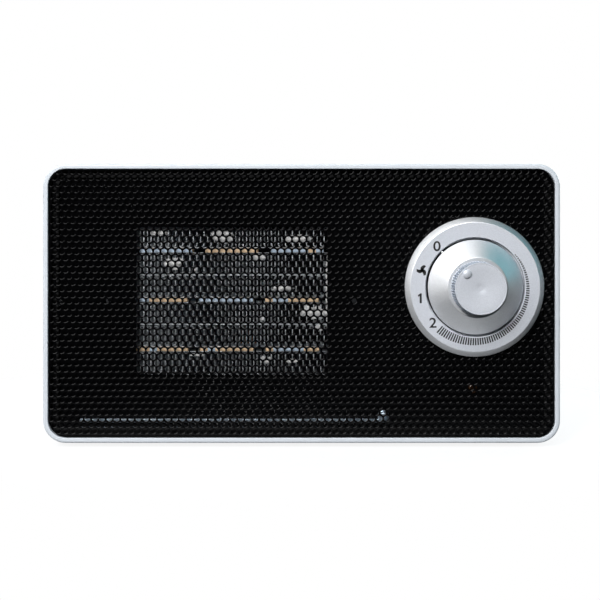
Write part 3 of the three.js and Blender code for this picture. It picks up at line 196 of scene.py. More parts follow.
# Each finish has a base colour, or None where a setting gives it, then three patterns, and the
# other values of the shader. The patterns drive the tone, from dark to light as colours or as
# shares of the base colour; the roughness, from smooth to rough; and the relief, with its
# height in millimetres and its strength. A pattern is its kind, size in millimetres and detail.
FINISHES = {
    # ABS, injection moulded in a spark-eroded tool: a satin skin with a faint even grain. The
    # grain is 0.1 mm in the tool, and drawn at 0.5 mm so that it shows.
    "moulded_abs": (
        None, ("cloud", 45, 3, 0.965, 1.02), ("cloud", 7, 4, 0.33, 0.5),
        ("cloud", 0.5, 2, 0.02, 0.5),
        {"Roughness": 0.4, "IOR": 1.54, "Specular IOR Level": 0.35},
    ),
    # Steel, powder coated: black with a soft gloss, orange peel and rounded edges.
    "powder_coated_steel": (
        None, ("cloud", 18, 4, 0.6, 1.5), ("cloud", 5, 3, 0.08, 0.16),
        ("cloud", 0.9, 2, 0.012, 0.5),
        {"Roughness": 0.12, "IOR": 1.5, "Specular IOR Level": 0.3},
    ),
    # PBT with short glass fibre, moulded: dull black with faint paler swirls of fibre.
    "glass_filled_pbt": (
        "#0A0A0B", ("swirl", 6, 5, "#060607", "#121214"), ("swirl", 6, 5, 0.5, 0.75),
        ("cloud", 0.4, 2, 0.02, 0.6), {"Roughness": 0.6, "IOR": 1.55},
    ),
    # PBT, moulded in a polished tool: deep black with a wet gloss and faint sink marks.
    "glossy_pbt": (
        "#050506", ("cloud", 12, 4, "#030304", "#08080A"), ("cloud", 12, 4, 0.06, 0.13),
        ("cloud", 8, 2, 0.1, 0.4), {"Roughness": 0.09, "IOR": 1.55},
    ),
    # Silver paint with aluminium flake, sprayed on ABS: a fine sparkle under a soft gloss. The
    # flakes are 0.05 mm, and drawn at 0.3 mm so that the sparkle shows.
    "metallic_paint": (
        None, ("flake", 0.3, None, 0.93, 1.06), ("flake", 0.3, None, 0.36, 0.48),
        ("cloud", 0.6, 2, 0.015, 0.5),
        {"Metallic": 0.15, "Roughness": 0.42, "Coat Weight": 0.15, "Coat Roughness": 0.25},
    ),
    # Silver paint polished after spraying: smoother and more like metal. The flakes are
    # 0.05 mm, and drawn at 0.35 mm so that the sparkle shows.
    "burnished_paint": (
        None, ("flake", 0.35, None, 0.96, 1.04), ("flake", 0.35, None, 0.4, 0.5),
        ("cloud", 0.8, 2, 0.01, 0.5),
        {"Metallic": 0.92, "Roughness": 0.44, "Coat Weight": 0.2, "Coat Roughness": 0.2},
    ),
    # Painted shade on the knob's ribbed side: the silver paint made darker and bluer, as the
    # grazing ribs look where they face the dark room.
    "moulded_grip": (
        "#8F9BAB", ("cloud", 3, 4, "#7E8A9B", "#A3AEBC"), ("cloud", 3, 4, 0.42, 0.6),
        ("cloud", 0.5, 2, 0.02, 0.5), {"Roughness": 0.5, "IOR": 1.54},
    ),
    # Aluminium foil, rolled and folded: bright edges, fine rolling lines and dull patches.
    "rolled_aluminium": (
        "#DFE4E9", ("cloud", 9, 5, "#C2C9D0", "#F0F3F6"), ("cloud", 9, 5, 0.36, 0.54),
        ("line", 0.25, 2, 0.02, 0.5), {"Metallic": 0.8, "Roughness": 0.44},
    ),
    # Barium titanate, pressed and sintered: tan and matt, with paler and browner clouds.
    "sintered_titanate": (
        None, ("cloud", 9, 3, 0.8, 1.12), ("cloud", 9, 3, 0.5, 0.75),
        ("cloud", 0.4, 3, 0.04, 0.7), {"Roughness": 0.6, "IOR": 1.9},
    ),
    # Aluminium paste fired onto a stone: blue grey, thin and a little worn.
    "fired_metallising": (
        None, ("cloud", 6, 4, 0.82, 1.14), ("cloud", 6, 4, 0.4, 0.62),
        ("cloud", 0.5, 3, 0.03, 0.6), {"Roughness": 0.5, "Metallic": 0.15},
    ),
    # White silicone sealant, smeared on by hand and cured: soft, slightly see-through lumps.
    "cured_silicone": (
        "#F2F1EF", ("cloud", 2.4, 4, "#E0DFDC", "#FFFFFF"), ("cloud", 2.4, 4, 0.3, 0.6),
        ("cloud", 1.2, 3, 0.2, 0.6),
        {
            "Roughness": 0.4, "IOR": 1.41, "Subsurface Weight": 0.15,
            "Subsurface Scale": 0.001, "Subsurface Radius": (1, 1, 1),
        },
    ),
    # Steel strip and screws, zinc plated: bright, with faint crystal patches.
    "zinc_plated_steel": (
        "#CBD9E8", ("flake", 2.5, None, "#B9CADB", "#DDE8F4"),
        ("flake", 2.5, None, 0.34, 0.5), ("cloud", 0.5, 3, 0.01, 0.5),
        {"Metallic": 1.0, "Roughness": 0.4},
    ),
    # Silicon steel, stamped and stacked: dark varnished sheets with fine lines between them. A
    # wave's lines are a twentieth of its size apart: 1 mm here, for sheets of 0.5 mm.
    "stacked_laminations": (
        "#4A4E55", ("sheet", 20, 1, "#2B2D31", "#5B6067"), ("cloud", 5, 4, 0.35, 0.6),
        ("sheet", 20, 1, 0.08, 0.6), {"Metallic": 0.85, "Roughness": 0.45},
    ),
    # Polyester tape wound over a coil: glossy amber brown, with an edge at every turn.
    "wound_tape": (
        "#8A4B1E", ("turn", 80, 1, "#6E3A14", "#A86430"), ("cloud", 2, 4, 0.22, 0.45),
        ("turn", 80, 1, 0.08, 0.6), {"Roughness": 0.32, "IOR": 1.57},
    ),
    # Nylon 6,6, moulded without pigment: a waxy off-white that lets a little light in.
    "natural_nylon": (
        "#D9D4C4", ("cloud", 6, 4, "#C8C2AE", "#E3DFD2"), ("cloud", 6, 4, 0.38, 0.55),
        ("cloud", 0.6, 2, 0.02, 0.5),
        {"Roughness": 0.45, "IOR": 1.53, "Subsurface Weight": 0.1, "Subsurface Scale": 0.001},
    ),
    # Synthetic rubber, moulded: dull black with a pale bloom in patches.
    "moulded_rubber": (
        "#1A1A1C", ("cloud", 4, 5, "#131315", "#2A2A2D"), ("cloud", 4, 5, 0.75, 0.95),
        ("cloud", 0.4, 3, 0.03, 0.7), {"Roughness": 0.85, "IOR": 1.52},
    ),
    # Polycarbonate, moulded amber: clear and glossy over a frosted inside.
    "amber_polycarbonate": (
        "#33200F", ("cloud", 1.5, 3, "#180E08", "#4C2F16"), ("cloud", 1.5, 3, 0.08, 0.2),
        ("pore", 0.7, None, 0.05, 0.5),
        {"Roughness": 0.12, "IOR": 1.58, "Transmission Weight": 0.25},
    ),
    # PVC, extruded over a wire: a soft gloss with faint streaks.
    "pvc_insulation": (
        None, ("cloud", 3, 4, 0.7, 1.25), ("cloud", 3, 4, 0.35, 0.55),
        ("cloud", 0.5, 2, 0.02, 0.5), {"Roughness": 0.42, "IOR": 1.53},
    ),
    # Dark ink, pad printed on the paint: flat, and a little thin where it is porous.
    "pad_print_ink": (
        None, ("cloud", 0.5, 3, 0.75, 1.35), ("cloud", 0.5, 3, 0.42, 0.6),
        ("cloud", 0.5, 3, 0.01, 0.5), {"Roughness": 0.5, "IOR": 1.5},
    ),
    # Polyester felt tape, needled: matt black with a short fuzzy nap.
    "black_felt": (
        "#0B0B0C", ("cloud", 0.7, 6, "#050506", "#151517"), ("cloud", 0.7, 6, 0.85, 1.0),
        ("cloud", 0.7, 6, 0.2, 0.8), {"Roughness": 0.95, "IOR": 1.5},
    ),
    # Open-cell polyurethane foam, cut from sheet: black, matt and full of small pores.
    "filter_foam": (
        "#141416", ("pore", 0.8, None, "#060607", "#2A2A2D"),
        ("pore", 0.8, None, 0.85, 1.0), ("pore", 0.8, None, 0.4, 0.9),
        {"Roughness": 0.95, "IOR": 1.5},
    ),
    # Steel screws, phosphated black and oiled: dark grey with a dull sheen.
    "phosphated_steel": (
        "#1D1E20", ("cloud", 1.5, 4, "#121315", "#2C2E31"), ("cloud", 1.5, 4, 0.45, 0.7),
        ("cloud", 1.5, 4, 0.02, 0.5), {"Metallic": 0.7, "Roughness": 0.55},
    ),
}


def add(tree, kind, inputs, **settings):
    """Adds a node, with its settings, and its inputs each set to a value or linked."""
    made = tree.nodes.new(kind)
    for name, value in settings.items():
        setattr(made, name, value)
    for name, value in inputs.items():
        if isinstance(value, bpy.types.NodeSocket):
            tree.links.new(value, made.inputs[name])
        else:
            made.inputs[name].default_value = value
    return made


def shader_of(name, base, values):
    """A new material with a Principled shader whose plain values stand on its own sockets."""
    material = bpy.data.materials.new(name)
    material.use_nodes = True
    tree = material.node_tree
    shader = tree.nodes["Principled BSDF"]
    for socket, value in {"Base Color": (*base, 1), **values}.items():
        shader.inputs[socket].default_value = value
    place = add(tree, "ShaderNodeTexCoord", {}).outputs["Object"]
    return material, tree, shader, place


def finish(recipe, colour=None, name=None):
    """The material of that name, made the first time that a piece asks for it."""
    name = name or recipe
    if name in bpy.data.materials:
        return bpy.data.materials[name]
    base, tone, gloss, relief, values = FINISHES[recipe]
    base = linear(base) if base else colour
    material, tree, shader, place = shader_of(name, base, values)
    made = {}
    for kind, size, detail in (tone[:3], gloss[:3], relief[:3]):
        if (kind, size) in made:
            continue
        node, settings, inputs = PATTERNS[kind]
        inputs = {"Vector": place, "Scale": 1 / (size * MM), **inputs}
        if detail:
            inputs["Detail"] = detail
        if kind == "line":
            stretched = add(tree, "ShaderNodeMapping", {"Vector": place, "Scale": LINE_STRETCH})
            inputs["Vector"] = stretched.outputs["Vector"]
        pattern = add(tree, node, inputs, **settings)
        if kind == "flake":
            parts = add(tree, "ShaderNodeSeparateColor", {"Color": pattern.outputs["Color"]})
            made[kind, size] = parts.outputs["Red"], parts.outputs["Green"]
        else:
            made[kind, size] = [pattern.outputs["Distance" if kind == "pore" else "Fac"]] * 2
    dark, light = (
        linear(end) if isinstance(end, str) else [min(1, level * end) for level in base]
        for end in tone[3:]
    )
    mix = add(
        tree, "ShaderNodeMix", {"Factor": made[tone[:2]][0], 6: (*dark, 1), 7: (*light, 1)},
        data_type="RGBA",
    )
    tree.links.new(mix.outputs[2], shader.inputs["Base Color"])
    spread = add(
        tree, "ShaderNodeMapRange",
        {"Value": made[gloss[:2]][1], "To Min": gloss[3], "To Max": gloss[4]},
    )
    tree.links.new(spread.outputs["Result"], shader.inputs["Roughness"])
    bump = add(
        tree, "ShaderNodeBump",
        {"Height": made[relief[:2]][0], "Distance": relief[3] * MM, "Strength": relief[4]},
    )
    tree.links.new(bump.outputs["Normal"], shader.inputs["Normal"])
    return material




# ---------------------------------------------------------------- shapes


def eased(corners, steps=5):
    """A closed outline of (x, y, radius) corners, with each corner rounded."""
    points = []
    for i, (x, y, radius) in enumerate(corners):
        here = Vector((x, y))
        if radius == 0:
            points.append(here)
            continue
        before = Vector(corners[i - 1][:2]) - here
        after = Vector(corners[(i + 1) % len(corners)][:2]) - here
        reach = radius / math.tan(before.angle(after) / 2)
        reach = min(reach, 0.48 * before.length, 0.48 * after.length)
        start = here + reach * before.normalized()
        end = here + reach * after.normalized()
        for step in range(steps + 1):
            t = step / steps
            points.append((1 - t) ** 2 * start + 2 * t * (1 - t) * here + t * t * end)
    return points


def cylinder(radius, low, high):
    """The profile of a plain cylinder, for turning."""
    return [(0, low), (radius, low), (radius, high), (0, high)]


def rounded_outline(width, height, corner, steps=9):
    """The corner points of a rounded rectangle round the casing's middle, in X and Z."""
    corner = max(corner, 0.3)
    points = []
    for quarter in range(4):
        x = BODY_CENTRE.x + (1, -1, -1, 1)[quarter] * (width / 2 - corner)
        z = BODY_CENTRE.z + (1, 1, -1, -1)[quarter] * (height / 2 - corner)
        for step in range(steps + 1):
            angle = (quarter + step / steps) * math.pi / 2
            points.append((x + corner * math.cos(angle), z + corner * math.sin(angle)))
    return points


def circle(radius, x, z, sides, turn=0.0):
    angles = [turn + i * math.tau / sides for i in range(sides)]
    return [(x + radius * math.cos(a), z + radius * math.sin(a)) for a in angles]


def bridge(bm, first, second):
    """Quads between two closed loops of as many vertices."""
    for i in range(len(first)):
        j = (i + 1) % len(first)
        bm.faces.new((first[i], first[j], second[j], second[i]))


def stitch(bm, outer, inner):
    """Triangles between two rings that start side by side and run the same way round."""
    i = j = 0
    while i < len(outer) or j < len(inner):
        here, there = outer[i % len(outer)], inner[j % len(inner)]
        if (i + 1) * len(inner) <= (j + 1) * len(outer):
            i += 1
            bm.faces.new((here, there, outer[i % len(outer)]))
        else:
            j += 1
            bm.faces.new((here, there, inner[j % len(inner)]))


def moulding(profile):
    """A frame round the casing whose section is a closed profile of (inset, depth)."""
    bm = bmesh.new()
    loops = []
    for inset, depth in profile:
        outline = rounded_outline(
            BODY_WIDTH - 2 * inset, BODY_HEIGHT - 2 * inset, BODY_CORNER - inset
        )
        loops.append([bm.verts.new((x, FRONT + depth, z)) for x, z in outline])
    for i in range(len(loops)):
        bridge(bm, loops[i - 1], loops[i])
    return bm


def turning(profile, centre, upright=False, sides=96, wave=None):
    """A profile of (radius, place) turned about an axis along Y, or along Z if upright.

    A profile that touches the axis is closed there. wave(angle, radius, place) may add to
    the radius, as ribs do.
    """
    bm = bmesh.new()
    loops = []
    for radius, place in profile:
        loop = []
        for i in range(1 if radius < 1e-6 else sides):
            angle = i * math.tau / sides
            reach = radius + (wave(angle, radius, place) if wave and radius else 0)
            across, rise = reach * math.cos(angle), reach * math.sin(angle)
            spot = (across, rise, place) if upright else (across, place, rise)
            shift = (centre.x, centre.y, 0) if upright else (centre.x, 0, centre.z)
            loop.append(bm.verts.new(Vector(spot) + Vector(shift)))
        loops.append(loop)
    for i in range(len(loops)):
        first, second = loops[i - 1], loops[i]
        if len(first) == len(second) == sides:
            bridge(bm, first, second)
        elif len(first) != len(second):
            point, ring = (first[0], second) if len(first) == 1 else (second[0], first[::-1])
            for j in range(sides):
                bm.faces.new((point, ring[j], ring[(j + 1) % sides]))
    return bm


def box(low, high, ease=0.0):
    """A rectangular block between two corners, with its edges eased."""
    bm = bmesh.new()
    bmesh.ops.create_cube(bm, size=1)
    low, high = Vector(low), Vector(high)
    bmesh.ops.scale(bm, verts=bm.verts, vec=high - low)
    bmesh.ops.translate(bm, verts=bm.verts, vec=(low + high) / 2)
    if ease:
        bmesh.ops.bevel(
            bm, geom=bm.edges[:], offset=ease, segments=2, profile=0.5, affect="EDGES"
        )
    return bm


def merged(*shapes):
    """Several shapes as one."""
    whole = bmesh.new()
    for shape in shapes:
        carrier = bpy.data.meshes.new("part")
        shape.to_mesh(carrier)
        shape.free()
        whole.from_mesh(carrier)
        bpy.data.meshes.remove(carrier)
    return whole


def plate(outlines, front, back, ease=0.0):
    """A flat plate in X and Z, filled between its outlines, with its edges eased."""
    curve = bpy.data.curves.new("outline", "CURVE")
    curve.dimensions = "2D"
    curve.fill_mode = "BOTH"
    curve.extrude = (back - front) / 2 - ease
    curve.bevel_depth = ease
    curve.bevel_resolution = 2
    curve.offset = -ease
    for outline in outlines:
        spline = curve.splines.new("POLY")
        spline.points.add(len(outline) - 1)
        for point, (x, z) in zip(spline.points, outline):
            point.co = (x, z, 0, 1)
        spline.use_cyclic_u = True
    return from_curve(curve, Matrix.Translation((0, (front + back) / 2, 0)))


def from_curve(curve, place):
    """The solid of a curve drawn upright, moved to its place."""
    holder = placed("outline", curve)
    mesh = evaluated_mesh(holder)
    bm = bmesh.new()
    bm.from_mesh(mesh)
    bmesh.ops.remove_doubles(bm, verts=bm.verts, dist=1e-4)
    bm.transform(place @ Matrix.Rotation(math.pi / 2, 4, "X"))
    bpy.data.objects.remove(holder)
    bpy.data.meshes.remove(mesh)
    bpy.data.curves.remove(curve)
    return bm


def placed(name, data):
    """A new object in the scene that holds the data."""
    made = bpy.data.objects.new(name, data)
    bpy.context.scene.collection.objects.link(made)
    return made


def evaluated_mesh(made):
    """The mesh of an object with its modifiers applied."""
    bpy.context.view_layer.update()
    evaluated = made.evaluated_get(bpy.context.evaluated_depsgraph_get())
    return bpy.data.meshes.new_from_object(evaluated)


def mesh_of(name, shape):
    """A shape as a mesh, with its faces turned outwards."""
    bmesh.ops.recalc_face_normals(shape, faces=shape.faces)
    mesh = bpy.data.meshes.new(name)
    shape.to_mesh(mesh)
    shape.free()
    return mesh


def link(name, shape, material, replaces=(), body="casing", sharp=35, carve=()):
    """Links a shape as a finished piece: in metres, smooth, painted and riding on its body.

    carve holds (operation, shape) pairs that are cut from it or joined to it.
    """
    made = placed(name, mesh_of(name, shape))
    for operation, tool_shape in carve:
        tool_mesh = mesh_of("tool", tool_shape)
        tool = placed("tool", tool_mesh)
        step = made.modifiers.new("carve", "BOOLEAN")
        step.operation = operation
        step.object = tool
        carved = evaluated_mesh(made)
        made.modifiers.clear()
        made.data = carved
        bpy.data.objects.remove(tool)
        bpy.data.meshes.remove(tool_mesh)
    made.data.name = name
    made.data.transform(Matrix.Scale(MM, 4))
    made.data.shade_smooth()
    made.data.set_sharp_from_angle(angle=math.radians(sharp))
    # Faces square to Y stay flat, so that a cut plate shows no shading across it.
    for face in made.data.polygons:
        face.use_smooth = abs(face.normal.y) < 0.9999
    made.data.materials.clear()
    made.data.materials.append(material)
    if replaces:
        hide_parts(*replaces)
    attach(made, body)
    return made


def refinish(material, nodes, ease=0.2):
    """Gives frame nodes a finish, and eases their edges with a bevel."""
    for name in nodes:
        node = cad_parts[name]
        node.data.materials.clear()
        node.data.materials.append(material)
        if ease:
            bevel = node.modifiers.new("eased_edges", "BEVEL")
            bevel.width = ease * MM
            bevel.segments = 2
            bevel.limit_method = "ANGLE"
            bevel.angle_limit = math.radians(40)


HEAD_HEIGHT = 2
SHANK, POINT = 1.5, 1.6  # radius of a screw's shank and length of its point
RECESS_DEPTH = 1.1
RECESS_REACH, RECESS_HALF = 1.7, 0.35  # half length and half width of a recess's slots


def cross_head_screw(node, outward, pointed=True, size=1.0, turn=0.4):
    """A pan-head screw along Y with a cross recess in its head, in place of its node.

    The head faces the rear where outward is 1, and the front where it is -1.
    """
    low, high = corners_of(node)
    middle = (low + high) / 2
    crown, end = (high.y, low.y) if outward > 0 else (low.y, high.y)
    seat = crown - HEAD_HEIGHT * outward
    radius = (high.x - low.x) / 2 * size
    tip = [(SHANK, end, 0.3)]
    if pointed:
        tip = [(0.5, end, 0), (SHANK, end + POINT * outward, 0.3)]
    profile = eased([
        (0, end, 0), *tip, (SHANK, seat, 0.1), (radius, seat, 0.15), (radius, crown, 0.9),
        (0, crown, 0),
    ], 6)
    floor, mouth = sorted((crown - RECESS_DEPTH * outward, crown + 0.5 * outward))
    recess = []
    for quarter in (0, math.pi / 2):
        blade = box((-RECESS_REACH, floor, -RECESS_HALF), (RECESS_REACH, mouth, RECESS_HALF))
        blade.transform(
            Matrix.Translation((middle.x, 0, middle.z)) @ Matrix.Rotation(quarter + turn, 4, "Y")
        )
        recess.append(("DIFFERENCE", blade))
    link(
        node + "_head", turning(profile, middle, sides=48), finish("zinc_plated_steel"),
        [node], carve=recess,
    )


# ---------------------------------------------------------------- casing

WALL = 2.4
RIM = 2.6  # width of the front rim
FRAME_DEPTH = FRAME_HIGH.y - FRONT
HOUSING_DEPTH = HOUSING_HIGH.y - FRONT
PARTING_GAP = 0.3
TONGUE = 1.6  # thickness of the tongue that enters the front frame
TONGUE_REACH = HOUSING_LOW.y - FRONT  # depth at which the tongue starts
LEDGE = 4  # width of the ledge that carries the grille
LEDGE_FRONT, LEDGE_BACK = 5.1, 7.1  # depths of the ledge's two faces
FOOT_POCKET = 7.3  # radius
PLUNGER_HOLE = 3.4  # radius
BOSS, BOSS_LENGTH = 5.5, 22  # radius and length of a screw boss
PILOT, PILOT_DEPTH = 1.8, 12  # radius and depth of a screw's hole


class HEATER_OT_front_frame(bpy.types.Operator):
    """Builds the white front frame, with its soft rim and the ledge for the grille"""

    bl_idname = "heater.front_frame"
    bl_label = "Front frame"

    def execute(self, context):
        casing = context.scene.heater.casing
        ledge = RIM + LEDGE
        section = eased([
            (0, FRAME_DEPTH, casing.parting_radius / MM), (0, 0, casing.rim_radius / MM),
            (RIM, 0, 0.5), (RIM, LEDGE_FRONT, 0.2), (ledge, LEDGE_FRONT, 0.3),
            (ledge, LEDGE_BACK, 0.3), (RIM, LEDGE_BACK, 0.2), (RIM, FRAME_DEPTH, 0.3),
        ])
        white = finish("moulded_abs", casing.white)
        link("front_frame_shell", moulding(section), white, ["front_frame"])
        felt_front, felt_back = LEDGE_FRONT - 0.25, LEDGE_FRONT - 0.03
        felt = moulding(eased([
            (RIM + 0.3, felt_front, 0.1), (ledge + 0.5, felt_front, 0.1),
            (ledge + 0.5, LEDGE_BACK, 0.1), (ledge + 0.1, LEDGE_BACK, 0),
            (ledge + 0.1, felt_back, 0), (RIM + 0.3, felt_back, 0),
        ], 2))
        link("ledge_felt_tape", felt, finish("black_felt"))
        return {"FINISHED"}


class HEATER_OT_main_housing(bpy.types.Operator):
    """Builds the main housing, with its parting groove, foot pockets and plunger hole"""

    bl_idname = "heater.main_housing"
    bl_label = "Main housing"

    def execute(self, context):
        casing = context.scene.heater.casing
        front = FRAME_DEPTH + PARTING_GAP
        tongue_outer = RIM + PARTING_GAP
        tongue_inner = tongue_outer + TONGUE
        section = eased([
            (0, front, casing.parting_radius / MM),
            (0, HOUSING_DEPTH, casing.rear_radius / MM), (WALL, HOUSING_DEPTH, 0.4),
            (WALL, front + TONGUE, 0.3), (tongue_inner, front + TONGUE, 0.3),
            (tongue_inner, TONGUE_REACH, 0.4), (tongue_outer, TONGUE_REACH, 0.4),
            (tongue_outer, front, 0),
        ])
        base = HOUSING_LOW.z
        pocket = cylinder(FOOT_POCKET, 1, base + 0.8)
        passage = cylinder(PLUNGER_HOLE, 1, base + WALL + 1)
        carve = [
            ("DIFFERENCE", turning(pocket, centre_of(foot), upright=True, sides=48))
            for foot in FEET
        ]
        plunger = centre_of("tip_switch_plunger")
        carve.append(("DIFFERENCE", turning(passage, plunger, upright=True, sides=40)))
        back = COVER_LOW.y - PARTING_GAP
        boss = cylinder(BOSS, back - BOSS_LENGTH, back)
        hole = cylinder(PILOT, back - PILOT_DEPTH, back + 1)
        for screw in COVER_SCREWS:
            carve.append(("UNION", turning(boss, centre_of(screw), sides=32)))
            carve.append(("DIFFERENCE", turning(hole, centre_of(screw), sides=20)))
        link(
            "main_housing_shell", moulding(section), finish("moulded_abs", casing.white),
            ["main_housing"], carve=carve,
        )
        return {"FINISHED"}


SLOT_COUNT = 12
SLOT_HEIGHT = 3.8
SLOT_PITCH = 7.6
SLOT_REACH = 51.8  # radius of the round field of slots
CORD_HOLE = 6.5  # radius
PAD_THICK = 1.6


class HEATER_OT_rear_cover(bpy.types.Operator):
    """Builds the rear cover, with the round-ended intake slots, and its four screws"""

    bl_idname = "heater.rear_cover"
    bl_label = "Rear cover"

    def execute(self, context):
        low, high = COVER_LOW, COVER_HIGH
        fan, inlet = centre_of("fan_impeller"), centre_of("cord_bushing")
        corner = BODY_CORNER - WALL - PARTING_GAP
        outlines = [rounded_outline(high.x - low.x, high.z - low.z, corner)]
        end = SLOT_HEIGHT / 2
        for i in range(SLOT_COUNT):
            rise = (i - (SLOT_COUNT - 1) / 2) * SLOT_PITCH
            reach = math.sqrt(SLOT_REACH**2 - rise**2) - end
            slot = []
            for side in (1, -1):
                for step in range(9):
                    angle = math.pi * (step / 8 - 0.5) + (0 if side > 0 else math.pi)
                    x = fan.x + side * reach + end * math.cos(angle)
                    slot.append((x, fan.z + rise + end * math.sin(angle)))
            outlines.append(slot)
        outlines.append(circle(CORD_HOLE, inlet.x, inlet.z, 40))
        for screw in map(centre_of, COVER_SCREWS):
            outlines.append(circle(PILOT, screw.x, screw.z, 20))
        white = finish("moulded_abs", context.scene.heater.casing.white)
        link(
            "rear_cover_plate", plate(outlines, low.y, high.y, 0.4), white,
            ["rear_cover"],
        )
        for screw in COVER_SCREWS:
            cross_head_screw(screw, outward=1)
        back = low.y - 0.1
        pad = eased([
            (0, back - PAD_THICK, 0), (SLOT_REACH + 3, back - PAD_THICK, 0.5),
            (SLOT_REACH + 3, back, 0.5), (0, back, 0),
        ])
        link("intake_filter_pad", turning(pad, fan), finish("filter_foam"))
        return {"FINISHED"}


# ---------------------------------------------------------------- perforated front

BORDER = 0.3  # plain border of the sheet
HOLE_MARGIN = 0.2  # least web between a hole and the border's inner edge
HOLE_SIDES = 10
REAR_SIDES = 6  # of a hole's rear edge, which is not seen
REAR_FLARE = 1.16  # a hole's rear edge against its front edge
STRAY = 0.75  # a hole that the border would move by more of its radius is left out
SHEET = 1  # thickness of the steel
COVERED = 33.8  # the bezel covers the holes nearer to the dial's axis than this
BORE = 27.7  # radius of the hole for the dial
LATTICE_X = -81.7  # centre of one hole of the row that lies over the middle stones
LATTICE_Z = 74.9


class HEATER_OT_grille(bpy.types.Operator):
    """Builds the perforated steel grille, with a rolled edge round every hole"""

    bl_idname = "heater.grille"
    bl_label = "Perforated grille"

    def execute(self, context):
        settings = context.scene.heater.grille
        coating = finish("powder_coated_steel", settings.black)
        link(
            "perforated_grille", grille_shape(settings), coating,
            ["front_grille"], sharp=22,
        )
        return {"FINISHED"}


def held_inside(x, z, half_width, half_height, corner):
    """The point itself, or the nearest point of a rounded rectangle that it lies outside."""
    across, rise = x - BODY_CENTRE.x, z - BODY_CENTRE.z
    flat_x, flat_z = half_width - corner, half_height - corner
    over = Vector((max(abs(across) - flat_x, 0), max(abs(rise) - flat_z, 0)))
    if over.x and over.y:
        if over.length > corner:
            over = corner * over.normalized()
    else:
        over = Vector((min(over.x, corner), min(over.y, corner)))
    near_x = min(abs(across), flat_x) + over.x
    near_z = min(abs(rise), flat_z) + over.y
    return (
        BODY_CENTRE.x + math.copysign(near_x, across),
        BODY_CENTRE.z + math.copysign(near_z, rise),
    )


def grille_shape(settings):
    """A pan of thin steel: a sheet of hexagonal cells, each with a round hole, and a flange."""
    low, high = GRILLE_LOW, GRILLE_HIGH
    front, back = low.y, low.y + SHEET
    half_width, half_height = (high.x - low.x) / 2, (high.z - low.z) / 2
    corner = BODY_CORNER - RIM - PARTING_GAP
    pitch, row_pitch, hole = settings.pitch / MM, settings.row / MM, settings.hole / MM / 2
    lead_in, roll = settings.lead_in / MM, settings.edge_roll / MM
    peak = row_pitch / 2 + pitch**2 / (8 * row_pitch)
    shoulder = row_pitch - peak
    hexagon = [
        (0, peak), (-pitch / 2, shoulder), (-pitch / 2, -shoulder), (0, -peak),
        (pitch / 2, -shoulder), (pitch / 2, shoulder),
    ]
    bm = bmesh.new()
    lattice = {}

    def lattice_corner(x, z):
        """The front and rear vertices that the cells meeting at a corner share."""
        key = (round(x, 2), round(z, 2))
        if key not in lattice:
            x, z = held_inside(
                x, z, half_width - BORDER, half_height - BORDER, max(corner - BORDER, 0.5)
            )
            lattice[key] = (bm.verts.new((x, front, z)), bm.verts.new((x, back, z)))
        return lattice[key]

    def ring(radius, x, z, sides, step, y):
        """A ring of vertices round a hole, held inside a border of that step."""
        points = circle(radius, x, z, sides, math.pi / 2)
        bounds = half_width - step, half_height - step, corner - step
        return [bm.verts.new((a, y, c)) for a, c in (held_inside(*p, *bounds) for p in points)]

    uses = {}
    inset = BORDER + HOLE_MARGIN
    rows = int(2 * half_height / row_pitch) + 4
    columns = int(2 * half_width / pitch) + 4
    for row in range(-rows, rows):
        for column in range(-columns, columns):
            x = LATTICE_X + (column + (row % 2) / 2) * pitch
            z = LATTICE_Z + row * row_pitch
            near = held_inside(x, z, half_width - inset, half_height - inset, corner - inset)
            outside = math.dist(near, (x, z)) > hole * STRAY
            if outside or math.dist((x, z), (DIAL.x, DIAL.z)) < COVERED:
                continue
            cell = [lattice_corner(x + dx, z + dz) for dx, dz in hexagon]
            edge = ring(hole + lead_in, x, z, HOLE_SIDES, inset - 0.1, front)
            lip = ring(hole, x, z, HOLE_SIDES, inset, front + roll)
            rear = ring(hole * REAR_FLARE, x, z, REAR_SIDES, inset - 0.05, back)
            stitch(bm, [pair[0] for pair in cell], edge)
            bridge(bm, edge, lip)
            stitch(bm, lip, rear)
            bridge(bm, [pair[1] for pair in cell], rear)
            for side in zip(cell, cell[1:] + cell[:1]):
                uses.setdefault(frozenset(side), []).append(side)

    loops = chained([sides[0] for sides in uses.values() if len(sides) == 1])
    outer, inner = sorted(loops, key=len, reverse=True)[:2]
    depth = high.y - front
    flange = []
    section = [(0, 0, 0.6), (0, depth, 0.1), (SHEET, depth, 0.1), (SHEET, SHEET, 0)]
    for step, place in eased(section):
        outline = rounded_outline(
            2 * (half_width - step), 2 * (half_height - step), corner - step
        )
        flange.append([bm.verts.new((x, front + place, z)) for x, z in outline])
    for first, second in zip(flange, flange[1:]):
        bridge(bm, first, second)
    bore = [
        [bm.verts.new((x, y, z)) for x, z in circle(BORE, DIAL.x, DIAL.z, 96)]
        for y in (front, back)
    ]
    bridge(bm, *bore)
    for face, rim in ((0, flange[0]), (1, flange[-1])):
        fill_between(bm, rim, [pair[face] for pair in outer])
        fill_between(bm, [pair[face] for pair in inner], bore[face])
    bmesh.ops.remove_doubles(bm, verts=bm.verts, dist=1e-3)
    bmesh.ops.dissolve_degenerate(bm, edges=bm.edges, dist=1e-3)
    return bm


def chained(edges):
    """Edges joined end to end into closed loops."""
    neighbours = {}
    for first, second in edges:
        neighbours.setdefault(first, []).append(second)
        neighbours.setdefault(second, []).append(first)
    loops = []
    while neighbours:
        loop = [next(iter(neighbours))]
        while onward := [p for p in neighbours.pop(loop[-1]) if p in neighbours]:
            loop.append(onward[0])
        loops.append(loop)
    return loops


